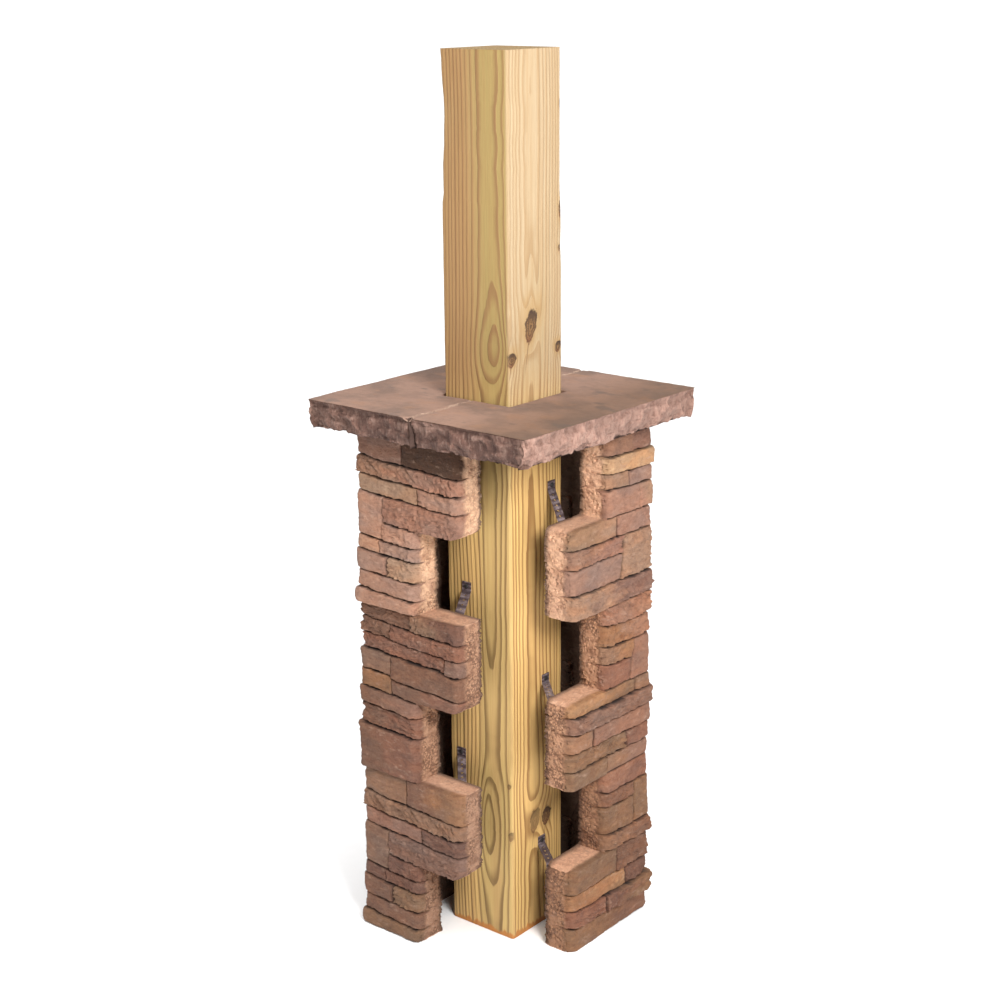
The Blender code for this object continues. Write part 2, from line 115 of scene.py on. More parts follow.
# Rounding of the upright edges of a panel, at its corner and at a tooth's end, and its spread
CORNER_ROUND = 15.0
END_ROUND = 13.0
ROUND_SPREAD = 4.0

# Rounding of a tooth's outer corner, and how far from its end a tooth's roughness fades out
TOOTH_ROUND = 19.0
END_FADE = 24.0

# Relief of a tooth's end: how far it is held back, and where the back edge turns ragged
END_INSET = 1.0
RAGGED_FROM = 46.0

# Grid of a panel's face: lines this far from a joint, and the widest spacing elsewhere
JOINT_LINES = (0.0, 0.8, 1.6, 3.0, 5.0)
SEEN_SPACING = 2.3
HIDDEN_SPACING = 3.6

# Steps over a panel's thickness, which grow towards its back
SEEN_STEPS = 24
HIDDEN_STEPS = 12
DEPTH_GROWTH = 1.15

# Grid of the cap's top: lines this far from its outline, the widest spacing, steps down
CAP_LINES = (0.0, 1.5, 3.5, 6.0)
CAP_SPACING = 3.2
CAP_STEPS = 18

# A rounding that ends at a right angle falls back by this share of its reach
ROUNDING = 0.29

# Top of a panel, kept clear of the one above
TOP_GAP = 0.3

# Vertices this close to a line or a plane stand on it
ON_LINE = 0.05


class Band(NamedTuple):
    """One course of stones over both legs of a panel, in millimetres."""

    height: float
    proud: float
    split: float = 0.0
    corner: tuple = ()
    outer: tuple = ()


class Mould(NamedTuple):
    """The courses of one cast panel, bottom first, and the leg whose splits they give."""

    seen_leg: str
    tooth_courses: float
    bands: tuple


MOULDS = {
    "left_a": Mould("right", 147.0, (
        Band(24.0, 6.0),
        Band(32.0, 2.0),
        Band(36.0, 3.5, 68.0),
        Band(24.0, 0.5, 52.0),
        Band(78.0, -0.5, 60.0, (78.0,), (31.0, 47.0)),
        Band(30.0, -2.0, 140.0),
        Band(30.0, -1.0),
        Band(50.8, -3.0, 105.0),
    )),
    "left_b": Mould("right", 148.0, (
        Band(79.0, 4.5),
        Band(39.0, -1.0),
        Band(30.0, 3.0),
        Band(70.0, 0.0, 74.0, (32.0, 38.0), (28.0, 42.0)),
        Band(28.0, -4.0, 195.0),
        Band(29.0, -1.5, 72.0),
        Band(29.8, -2.5, 120.0),
    )),
    "right_a": Mould("left", 155.0, (
        Band(40.0, 2.5),
        Band(78.0, 0.5, 88.0, (78.0,), (46.0, 32.0)),
        Band(37.0, -1.0, 105.0),
        Band(46.0, 1.5, 42.0),
        Band(28.0, 0.0, 70.0),
        Band(31.0, 4.0),
        Band(44.8, -1.5, 63.0),
    )),
    "right_b": Mould("left", 155.0, (
        Band(32.0, -1.5, 126.0),
        Band(33.0, 0.5, 70.0),
        Band(34.0, 2.5, 170.0),
        Band(30.0, 5.5),
        Band(26.0, 1.5, 46.0),
        Band(76.0, -0.5, 56.0, (76.0,), (44.0, 32.0)),
        Band(36.0, -2.0),
        Band(37.8, 0.5),
    )),
    "right_c": Mould("left", 155.0, (
        Band(40.0, -1.0),
        Band(33.0, 7.0, 131.0),
        Band(34.0, 0.0, 69.0),
        Band(48.0, 1.5, 99.0),
        Band(31.0, 4.5),
        Band(79.0, 1.0, 48.0, (79.0,), (53.0, 26.0)),
        Band(39.8, -1.5),
    )),
    "back": Mould("right", 151.0, (
        Band(38.0, 2.0),
        Band(30.0, 0.0, 120.0),
        Band(45.0, 3.0, 70.0),
        Band(38.0, -1.0),
        Band(34.0, 1.0, 160.0),
        Band(48.0, -2.0, 80.0),
        Band(30.0, 0.5),
        Band(41.8, -1.0, 110.0),
    )),
}

# The finish of each stone, corner ones before outer ones in every course
FINISHES = {
    "left_a": ("smooth", "smooth", "smooth split", "smooth rough", "smooth rough rough",
               "smooth rough", "ridged", "smooth smooth"),
    "left_b": ("smooth", "split", "smooth", "smooth smooth smooth smooth", "split smooth",
               "split rough", "split rough"),
    "right_a": ("split", "rough smooth split", "smooth smooth", "smooth smooth",
                "smooth smooth", "smooth", "smooth smooth"),
    "right_b": ("smooth smooth", "smooth split", "smooth smooth", "split", "smooth smooth",
                "smooth smooth split", "split", "ridged"),
    "right_c": ("smooth", "split split", "split smooth", "split smooth", "split",
                "smooth smooth split", "smooth"),
    "back": ("split", "smooth smooth", "smooth split", "rough", "smooth smooth",
             "smooth rough", "split", "smooth smooth"),
}

# Colours of the castings, linear
TINTS = {
    "pink": (0.275, 0.158, 0.116),
    "rose": (0.240, 0.125, 0.088),
    "brown": (0.215, 0.120, 0.080),
    "tan": (0.270, 0.165, 0.108),
    "straw": (0.370, 0.230, 0.128),
    "olive": (0.225, 0.140, 0.085),
    "lilac": (0.230, 0.143, 0.112),
    "plum": (0.180, 0.098, 0.072),
    "grey": (0.245, 0.155, 0.112),
    "orange": (0.295, 0.165, 0.088),
    "salmon": (0.330, 0.188, 0.128),
    # Painted shade: a dark brown made far darker to stand in for the shade under the cap, used on the top
    # course of the top left panel
    "umber": (0.054, 0.022, 0.009),
}

# The tints of the stones in each course; two with a colon run from the corner outwards
COLOURS = {
    "panel_left_1": ("olive", "brown", "brown olive", "plum plum", "grey plum lilac",
                     "pink plum", "tan", "tan brown:orange"),
    "panel_left_2": ("brown:rose", "brown:rose", "brown:pink", "orange grey brown:rose brown",
                     "rose lilac", "brown rose", "brown tan:plum"),
    # The last stone of this panel's top course is painted with the shade under the cap
    "panel_left_3": ("pink", "pink", "pink tan", "salmon lilac", "pink pink rose",
                     "tan pink", "brown:rose", "plum umber"),
    "panel_right_1": ("brown:olive", "olive:plum rose", "plum straw:orange", "brown olive",
                      "brown:tan", "olive olive brown", "rose:pink"),
    "panel_right_2": ("pink:tan olive", "rose:plum olive", "pink tan", "lilac", "tan olive:straw",
                      "pink rose orange:tan", "salmon:orange", "salmon:pink"),
    "panel_right_3": ("plum:tan", "tan lilac rose:brown", "pink tan:olive", "tan:pink pink",
                      "lilac tan", "straw", "plum brown"),
}

# Tone of the bottom, middle and top module of each stack, partly its own colour and partly painted light and
# shade: the top modules are painted paler, the lower ones darker
MODULE_TONES_AND_LIGHT = {
    "left": ((0.83, 0.77, 0.71), (0.80, 0.73, 0.65), (1.26, 1.29, 1.22)),
    "right": ((0.87, 0.73, 0.59), (0.90, 0.79, 0.67), (1.06, 1.02, 0.95)),
    "back": ((0.90, 0.86, 0.80), (0.90, 0.86, 0.80), (1.00, 0.96, 0.92)),
}

# How much paler or darker than its stones the castings of a panel are: painted light on the top right panel's
# lit ends, painted shade on the bottom panels' shaded ends
CAST_TONES_AND_LIGHT = {"panel_left_1": 0.84, "panel_right_1": 0.76, "panel_right_3": 1.16}

# How far panels stand out of line with the bottom one of their stack, in millimetres
MODULE_SHIFTS = {"panel_left_2": 3.0, "panel_left_3": 6.0}


class Stack(NamedTuple):
    """Where a stack of panels stands, which way it is turned and its moulds, bottom first."""

    corner: tuple
    turn: float
    moulds: tuple


STACKS = {
    "left": Stack((-1, -1), 0.0, ("left_a", "left_b", "left_a")),
    "right": Stack((1, 1), math.pi, ("right_c", "right_b", "right_a")),
    "back": Stack((-1, 1), -math.pi / 2, ("back", "back", "back")),
}


class Finish(NamedTuple):
    """How deep the relief of a cast stone goes, in millimetres, and how far its bedding leans."""

    cleft: float
    fine: float
    pits: float
    lean: float


STONE_FINISHES = {
    "smooth": Finish(0.55, 0.42, 0.6, 0.05),
    "split": Finish(2.5, 1.15, 0.9, 0.16),
    "rough": Finish(1.6, 1.45, 1.5, 0.25),
    "ridged": Finish(3.6, 0.60, 0.6, 0.80),
}


# Scattered numbers and smooth fields, all repeatable

def hashed(a, b, seed):
    """A repeatable number from 0 to 1 for each pair of whole numbers."""
    mixed = (a * 73856093) ^ (b * 19349663) ^ (seed * 83492791)
    mixed = ((mixed & 0xFFFFFFFF) ^ ((mixed & 0xFFFFFFFF) >> 13)) * 1274126177
    mixed = (mixed & 0xFFFFFFFF) ^ ((mixed & 0xFFFFFFFF) >> 16)
    return (mixed & 0xFFFFF) / 0xFFFFF


def noise(a, b, seed):
    """Smooth noise from -1 to 1 over a plane."""
    whole_a = np.floor(a).astype(np.int64)
    whole_b = np.floor(b).astype(np.int64)
    part_a = a - whole_a
    part_b = b - whole_b
    part_a = part_a * part_a * (3 - 2 * part_a)
    part_b = part_b * part_b * (3 - 2 * part_b)
    low = hashed(whole_a, whole_b, seed) * (1 - part_a) + hashed(whole_a + 1, whole_b, seed) * part_a
    high = (
        hashed(whole_a, whole_b + 1, seed) * (1 - part_a)
        + hashed(whole_a + 1, whole_b + 1, seed) * part_a
    )
    return 2 * (low * (1 - part_b) + high * part_b) - 1


def layered(a, b, seed, layers=3):
    """Noise with finer and weaker layers on top."""
    total = 0.0
    for layer in range(layers):
        total = total + noise(a * 2 ** layer, b * 2 ** layer, seed + layer) * 0.5 ** layer
    return total


def nearest_point(a, b, seed):
    """Distance to the nearest of a plane's scattered points, and that point's own number."""
    whole_a = np.floor(a).astype(np.int64)
    whole_b = np.floor(b).astype(np.int64)
    nearest = np.full(np.shape(a), 9.0)
    number = np.zeros(np.shape(a))
    for step_a in (-1, 0, 1):
        for step_b in (-1, 0, 1):
            cell_a = whole_a + step_a
            cell_b = whole_b + step_b
            point_a = cell_a + hashed(cell_a, cell_b, seed)
            point_b = cell_b + hashed(cell_a, cell_b, seed + 7)
            distance = np.hypot(point_a - a, point_b - b)
            closer = distance < nearest
            nearest = np.where(closer, distance, nearest)
            number = np.where(closer, hashed(cell_a, cell_b, seed + 13), number)
    return nearest, number


def smooth_step(low, high, value):
    """0 below low, 1 above high and a smooth rise between."""
    share = np.clip((value - low) / (high - low), 0.0, 1.0)
    return share * share * (3 - 2 * share)


# Modelling by hand

def deselect_all():
    """Leave edit mode and select nothing."""
    if bpy.context.object is not None and bpy.context.object.mode != "OBJECT":
        bpy.ops.object.mode_set(mode="OBJECT")
    for item in list(bpy.context.selected_objects):
        item.select_set(False)


def edit_mesh(piece):
    """Select a piece alone and open it in edit mode."""
    deselect_all()
    bpy.context.view_layer.objects.active = piece
    piece.select_set(True)
    bpy.ops.object.mode_set(mode="EDIT")
    return bmesh.from_edit_mesh(piece.data)


def points_of(piece):
    """A piece's vertices as rows of numbers, in millimetres."""
    points = np.empty(len(piece.data.vertices) * 3)
    piece.data.vertices.foreach_get("co", points)
    return points.reshape(-1, 3) / MM


def move_points(piece, points):
    """Put a piece's vertices at rows of numbers given in millimetres."""
    piece.data.vertices.foreach_set("co", (points * MM).ravel())
    piece.data.update()


def paint(piece, name, colours):
    """Keep a colour for each vertex of a piece."""
    attribute = piece.data.attributes.get(name)
    if attribute is None:
        attribute = piece.data.attributes.new(name, "FLOAT_COLOR", "POINT")
    rows = np.ones((len(colours), 4))
    rows[:, :3] = colours
    attribute.data.foreach_set("color", rows.ravel())


def finish_piece(piece, name, nodes, material, smooth_angle=35.0):
    """Name a piece, give it its material and let it stand for its CAD nodes."""
    piece.name = name
    piece.data.name = name
    piece.data.materials.clear()
    piece.data.materials.append(material)
    deselect_all()
    bpy.context.view_layer.objects.active = piece
    piece.select_set(True)
    bpy.ops.object.shade_smooth_by_angle(angle=math.radians(smooth_angle))
    piece.select_set(False)
    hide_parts(*nodes)
    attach(piece, "root")
    return piece


def lines_between(low, high, joints, spacing, offsets):
    """Places of grid lines from low to high, closer together beside the joints."""
    places = {round(low, 3), round(high, 3)}
    for joint in joints:
        for offset in offsets:
            for place in (joint - offset, joint + offset):
                if low <= place <= high:
                    places.add(round(place, 3))
    places = sorted(places)
    closest = min(offsets[1:]) * 0.7
    kept = [places[0]]
    for place in places[1:]:
        exact = any(abs(place - joint) < 0.01 for joint in joints) or place == places[-1]
        if place - kept[-1] < closest and not exact:
            continue
        if place - kept[-1] < closest and len(kept) > 1:
            kept.pop()
        kept.append(place)
    filled = []
    for first, second in zip(kept, kept[1:]):
        count = max(1, math.ceil((second - first) / spacing))
        filled.extend(first + (second - first) * index / count for index in range(count))
    filled.append(kept[-1])
    return np.array(filled)


def add_sheet(across, up, facing):
    """Add a grid with lines at the given places, facing -Y or up."""
    deselect_all()
    bpy.ops.mesh.primitive_grid_add(
        x_subdivisions=len(across) - 1, y_subdivisions=len(up) - 1, size=1.0, location=(0, 0, 0),
    )
    piece = bpy.context.object
    wide, high = np.meshgrid(across, up)
    flat = np.zeros(wide.size)
    wide, high = wide.ravel(), high.ravel()
    columns = (wide, flat, high) if facing == "front" else (wide, high, flat)
    move_points(piece, np.stack(columns, axis=1))
    return piece


def delete_faces(piece, outside):
    """Delete the faces whose middle, in millimetres, is outside the outline."""
    shape = edit_mesh(piece)
    bpy.ops.mesh.select_mode(type="FACE")
    bpy.ops.mesh.select_all(action="DESELECT")
    for face in shape.faces:
        middle = face.calc_center_median() / MM
        if outside(middle):
            face.select_set(True)
    bmesh.update_edit_mesh(piece.data)
    bpy.ops.mesh.delete(type="FACE")
    bpy.ops.object.mode_set(mode="OBJECT")


def extrude_rim(piece, direction, depths):
    """Extrude a sheet's open rim step by step, close its back and leave edit mode open."""
    shape = edit_mesh(piece)
    bpy.ops.mesh.select_mode(type="EDGE")
    bpy.ops.mesh.select_all(action="DESELECT")
    for edge in shape.edges:
        if edge.is_boundary:
            edge.select_set(True)
    bmesh.update_edit_mesh(piece.data)
    before = 0.0
    for depth in depths:
        step = Vector(direction) * (depth - before) * MM
        bpy.ops.mesh.extrude_region_move(TRANSFORM_OT_translate={"value": step})
        before = depth
    bpy.ops.mesh.edge_face_add()


# Cast stone panels

class Stone(NamedTuple):
    """One stone on the unfolded face of a panel: its run, levels, how proud it stands, its finish."""

    start: float
    end: float
    low: float
    high: float
    proud: float
    finish: str
    part: int
    joints: tuple


def stack_levels(low, heights, total, height):
    """Levels of the stones in one column of a course."""
    heights = heights or (total,)
    levels = []
    for part in heights:
        top = low + height * part / sum(heights)
        levels.append((low, top))
        low = top
    return levels


def leg_length(leg, middle, step):
    """How far a leg runs at a level."""
    is_long = (middle > step) == (leg == "right")
    return LONG_TOOTH if is_long else SHORT_TOOTH


def split_lean(stones, u, z):
    """How far the upright joints of tall stones lean, the corner stone wider at its foot."""
    lean = np.zeros(len(u))
    for stone in stones:
        height = stone.high - stone.low
        for joined, place in zip(stone.joints, (stone.start, stone.end)):
            if not joined or height < TALL_STONE or place * (stone.start + stone.end) < 0:
                continue
            middle = (stone.low + stone.high) / 2
            share = np.clip((z - middle) / height, -0.5, 0.5)
            near = np.exp(-((u - place) / 24.0) ** 2)
            beyond = np.maximum(np.abs(z - middle) - height / 2, 0.0)
            lean -= math.copysign(SPLIT_LEAN, place) * share * near * np.exp(-beyond / 4)
    return lean


def lay_stones(mould_name):
    """The stones of a mould on its unfolded face: the right-hand leg is positive, the left negative."""
    mould = MOULDS[mould_name]
    rng = random.Random(mould_name)
    scale = MODULE_HEIGHT / sum(band.height for band in mould.bands)
    step = mould.tooth_courses * scale
    hidden_leg = "left" if mould.seen_leg == "right" else "right"
    stones = []
    low = 0.0
    for number, band in enumerate(mould.bands):
        finishes = FINISHES[mould_name][number].split()
        height = band.height * scale
        split = {mould.seen_leg: band.split, hidden_leg: CORNER_RETURN * rng.uniform(0.55, 1.3)}
        corner_levels = stack_levels(low, band.corner, band.height, height)
        for index, (bottom, top) in enumerate(corner_levels):
            ends = {}
            joined = {}
            for leg in ("right", "left"):
                length = leg_length(leg, (bottom + top) / 2, step)
                whole = not band.split and leg == mould.seen_leg
                ends[leg] = length if whole else split[leg]
                joined[leg] = not whole
            stones.append(Stone(
                -ends["left"], ends["right"], bottom, top, band.proud, finishes[index],
                number * 10 + index, (joined["left"], joined["right"]),
            ))
        for leg in ("right", "left"):
            if not band.split and leg == mould.seen_leg:
                continue
            for index, (bottom, top) in enumerate(stack_levels(low, band.outer, band.height, height)):
                length = leg_length(leg, (bottom + top) / 2, step)
                proud = band.proud * 0.4 + rng.uniform(-PROUD_SPREAD, PROUD_SPREAD)
                # Nothing reads this draw, but the ones after it depend on it
                rng.random()
                finish = finishes[min(len(corner_levels) + index, len(finishes) - 1)]
                part = number * 10 + len(corner_levels) + index
                run = (split[leg], length) if leg == "right" else (-length, -split[leg])
                joints = (leg == "right", leg == "left")
                stones.append(Stone(*run, bottom, top, proud, finish, part, joints))
        low += height
    return stones, step


def edge_fall(distance, half_joint, radius, depth):
    """How far a stone's face falls back beside one of its edges."""
    over = np.clip(1 - (distance - half_joint) / radius, 0.0, 1.0)
    rounding = 0.5 * radius * (1 - np.sqrt(np.clip(1 - over * over, 0.0, 1.0)))
    wall = smooth_step(1.0, 0.62, distance / half_joint)
    return rounding + np.maximum(depth - 0.5 * radius, 0.0) * wall


def stone_relief(stone, u, z, seed):
    """The relief of a stone's face in millimetres, from its finish."""
    finish = STONE_FINISHES[stone.finish]
    rng = random.Random(seed)
    lean = finish.lean * rng.choice((1, 1, -1)) + rng.uniform(-0.06, 0.06)
    if stone.finish == "ridged":
        lean = finish.lean
    along = (u * math.cos(lean) - z * math.sin(lean))
    across = (u * math.sin(lean) + z * math.cos(lean))
    bend = layered(u / 45, z / 30, seed + 3, 2)
    ridges = layered(along / 34 + 0.6 * bend, across / 7.5 + 0.8 * bend, seed, 3)
    relief = finish.cleft * 0.8 * ridges
    steps = across / 11.0 + 1.6 * layered(u / 38, z / 24, seed + 11, 3)
    part = steps - np.floor(steps)
    relief += finish.cleft * 0.9 * (part - 0.5) * smooth_step(0.0, 0.12, part)
    relief += 0.7 * layered(u / 60, z / 40, seed + 17, 2)
    relief += finish.fine * layered(u / 5.5, z / 4.4, seed + 23, 2)
    crumb, _ = nearest_point(u / 5.0, z / 4.2, seed + 27)
    relief += finish.fine * 0.8 * (0.45 - crumb)
    pit, number = nearest_point(u / 12, z / 9, seed + 29)
    relief -= finish.pits * (number > 0.6) * (1 - smooth_step(0.10, 0.34, pit))
    tilt = rng.uniform(-1.1, 1.1)
    relief += tilt * (z - (stone.low + stone.high) / 2) / (stone.high - stone.low)
    return relief


def is_bare(level, u, step):
    """Where the edge of a stone at a level has no stone beside it but a ledge of a tooth."""
    at_ledge = min(abs(level - step), abs(level), abs(level - MODULE_HEIGHT)) < 0.5
    return np.full(len(u), at_ledge) & (np.abs(u) > SHORT_TOOTH - 2.0)


def panel_front(stones, step, u, z, seed):
    """How far the face stands out at each point, how deep in a joint it is, and its stone."""
    stands = np.zeros(len(u))
    groove = np.zeros(len(u))
    owner = np.full(len(u), -1)
    ragged = 1.0 + 0.40 * layered(u / 15, z / 15, seed + 41, 2) + 0.30 * noise(u / 5, z / 5, seed + 43)
    ragged = np.clip(ragged, 0.35, 1.9)
    for index, stone in enumerate(stones):
        inside = (
            (u >= stone.start - 0.01) & (u <= stone.end + 0.01)
            & (z >= stone.low - 0.01) & (z <= stone.high + 0.01)
        )
        mine = np.where(inside)[0]
        rng = random.Random(seed * 100 + index)
        su = u[mine]
        sz = z[mine]
        half = JOINT_HALF * np.clip(ragged[mine], 0.8, 1.25)
        height = stone.high - stone.low
        near_corner = 1 + 0.5 * np.exp(-np.abs(su) / 14)
        radius = min(rng.uniform(2.4, 4.8), height / 4) * near_corner * ragged[mine]
        depth = JOINT_DEPTH + stone.proud
        falls = []
        for level, distance, share in (
            (stone.low, sz - stone.low, 0.50), (stone.high, stone.high - sz, 1.10),
        ):
            bare = is_bare(level, su, step)
            half_joint = np.where(bare, 0.01, half)
            falls.append(edge_fall(distance, half_joint, radius * share, np.where(bare, 0.0, depth)))
        for joined, distance in ((stone.joints[0], su - stone.start), (stone.joints[1], stone.end - su)):
            if joined:
                falls.append(edge_fall(distance, half * 0.8, radius * 0.7, depth * 0.8))
        fall = np.maximum.reduce(falls)
        height_here = stone.proud + stone_relief(stone, su, sz, seed + index * 5) - fall
        first = owner[mine] < 0
        stands[mine] = np.where(first, height_here, np.minimum(stands[mine], height_here))
        groove[mine] = np.maximum(groove[mine], smooth_step(3.6, 6.4, fall))
        owner[mine] = index
    return stands, groove, owner


def joint_wave(u, z, step, slope, seed):
    """How far the courses wander up or down, nothing at a panel's top and bottom."""
    fade = smooth_step(0.0, 30.0, z) * smooth_step(0.0, 30.0, MODULE_HEIGHT - z)
    beyond = np.abs(u) > SHORT_TOOTH
    at_step = np.where(beyond, smooth_step(0.0, 30.0, np.abs(z - step)), 1.0)
    wander = 1.7 * layered(u / 58, z / 70, seed + 51, 2) + 0.7 * noise(u / 11, z / 20, seed + 53)
    return fade * (wander * (0.5 + 0.5 * at_step) + slope * (SLOPE_PIVOT - np.abs(u)) * at_step)


def tooth_length(u, z, step):
    """Length of the leg that each point is on."""
    right = np.where(z > step, LONG_TOOTH, SHORT_TOOTH)
    left = np.where(z > step, SHORT_TOOTH, LONG_TOOTH)
    return np.where(u >= 0, right, left)


def fold(u, t, z):
    """Bend the unfolded panel round its corner, which comes to stand on the Z axis."""
    run = np.abs(u)
    squeezed = run + np.clip(1 - run / CORNER_ROOM, 0.0, 1.0) * t
    return np.stack((np.where(u >= 0, squeezed, t), np.where(u >= 0, t, squeezed), z), axis=1)


def carve_panel(piece, mould_name, stones, step, seed):
    """Sculpt the relief of an unfolded panel, fold it and remember what each vertex is."""
    points = points_of(piece)
    u, t, z = points.T
    stands, groove, owner = panel_front(stones, step, u, z, seed)
    length = tooth_length(u, z, step)
    ledge = np.abs(z - step) < ON_LINE
    at_ledge = ledge & (np.abs(u) > SHORT_TOOTH - ON_LINE)
    at_edge = (z < ON_LINE) | (z > MODULE_HEIGHT - TOP_GAP - ON_LINE) | at_ledge
    front = np.where(at_edge, np.maximum(stands, -5.0), stands)
    corner = CORNER_ROUND + ROUND_SPREAD * noise(z / 24, z / 90, seed + 61)
    front = front - ROUNDING * corner * np.clip(1 - np.abs(u) / corner, 0.0, 1.0) ** 2
    end_radius = END_ROUND + ROUND_SPREAD * noise(u / 40, z / 17, seed + 67)
    short = (length < LONG_TOOTH - 1.0) & ~ledge
    room = np.where(short, length, LONG_TOOTH) - np.abs(u)
    from_end = np.clip(1 - room / end_radius, 0.0, 1.0)
    front = front - 0.42 * end_radius * from_end ** 2
    groove = groove * smooth_step(0.0, END_FREE_OF_JOINTS, room)
    slope = LEFT_SLOPE if MOULDS[mould_name].seen_leg == "right" else RIGHT_SLOPE
    wave = joint_wave(u, z, step, slope, seed)
    new_t = t - front * (1 - t / PANEL_THICKNESS)
    crumb, number = nearest_point(t / 5.0, z / 5.0, seed + 75)
    grain = 1.1 * layered(t / 6, z / 6, seed + 71, 3) + 1.0 * noise(t / 18, z / 21, seed + 73)
    grain = grain + 1.9 * (0.45 - crumb) + 2.6 * (number > 0.84) * smooth_step(0.5, 0.2, crumb)
    grain = grain * smooth_step(0.0, 6.0, t)
    ragged_back = 4.6 * np.abs(layered(z / 5.5, z / 31, seed + 77, 3))
    ragged_back = ragged_back * smooth_step(RAGGED_FROM, PANEL_THICKNESS, t)
    pull = ROUNDING * end_radius * np.clip(1 - t / end_radius, 0.0, 1.0) ** 2
    pull = pull + 2.4 * groove * np.exp(-t / 4.0) * (~at_edge) + END_INSET + grain + ragged_back
    pull = pull * np.where(short, smooth_step(0.0, 5.0, np.abs(z - step)), 1.0)
    on_end = np.clip(1 - room / END_FADE, 0.0, 1.0)
    beside_ledge = np.clip(1 - np.abs(z - step) / TOOTH_ROUND, 0.0, 1.0) * (~short)
    beside_end = np.clip(1 - room / TOOTH_ROUND, 0.0, 1.0) * (~short)
    pull = pull * on_end + ROUNDING * TOOTH_ROUND * beside_ledge ** 2 * beside_end
    new_u = u + split_lean(stones, u, z) * np.exp(-t / 10) - np.sign(u) * pull
    upwards = np.where(u > 0, 1.0, -1.0)
    roughness = np.abs(0.9 * layered(u / 6, t / 6, seed + 79, 3)) * smooth_step(0.0, 6.0, t)
    edge = 1.8 * np.clip(1 - t / 7.0, 0.0, 1.0) ** 2
    new_z = z + wave * (1 - 0.6 * t / PANEL_THICKNESS)
    new_z = new_z + upwards * ROUNDING * TOOTH_ROUND * beside_end ** 2 * beside_ledge
    new_z = new_z + np.where(at_ledge, upwards * (edge + roughness) * (1 - on_end), 0.0)
    move_points(piece, fold(new_u, new_t, new_z))
    return {"u": u, "t": t, "z": z, "groove": groove, "owner": owner, "seed": seed, "step": step}


def model_mould(mould_name):
    """Model one panel unfolded: a sheet cut to its outline, its rim extruded, then carved and folded."""
    stones, step = lay_stones(mould_name)
    seed = sum(ord(letter) * (place + 1) for place, letter in enumerate(mould_name))
    hidden = mould_name == "back"
    spacing = HIDDEN_SPACING if hidden else SEEN_SPACING
    levels = sorted({round(stone.high, 3) for stone in stones})[:-1]
    splits = {round(place, 3) for stone in stones for place in (stone.start, stone.end)}
    splits |= {0.0, SHORT_TOOTH, -SHORT_TOOTH, LONG_TOOTH, -LONG_TOOTH}
    across = lines_between(-LONG_TOOTH, LONG_TOOTH, sorted(splits), spacing, JOINT_LINES)
    up = lines_between(0.0, MODULE_HEIGHT - TOP_GAP, levels + [step], spacing, JOINT_LINES)
    piece = add_sheet(across, up, "front")

    def outside(middle):
        if middle.z > step:
            return middle.x < -SHORT_TOOTH
        return middle.x > SHORT_TOOTH

    delete_faces(piece, outside)
    steps = HIDDEN_STEPS if hidden else SEEN_STEPS
    depths = [PANEL_THICKNESS * (index / steps) ** DEPTH_GROWTH for index in range(1, steps + 1)]
    extrude_rim(piece, (0, 1, 0), depths)
    bpy.ops.mesh.bisect(plane_co=(0, 0, 0), plane_no=(1, 0, 0))
    bpy.ops.mesh.select_all(action="SELECT")
    bpy.ops.mesh.normals_make_consistent(inside=False)
    bpy.ops.object.mode_set(mode="OBJECT")
    facts = carve_panel(piece, mould_name, stones, step, seed)
    facts["stones"] = stones
    return piece, facts


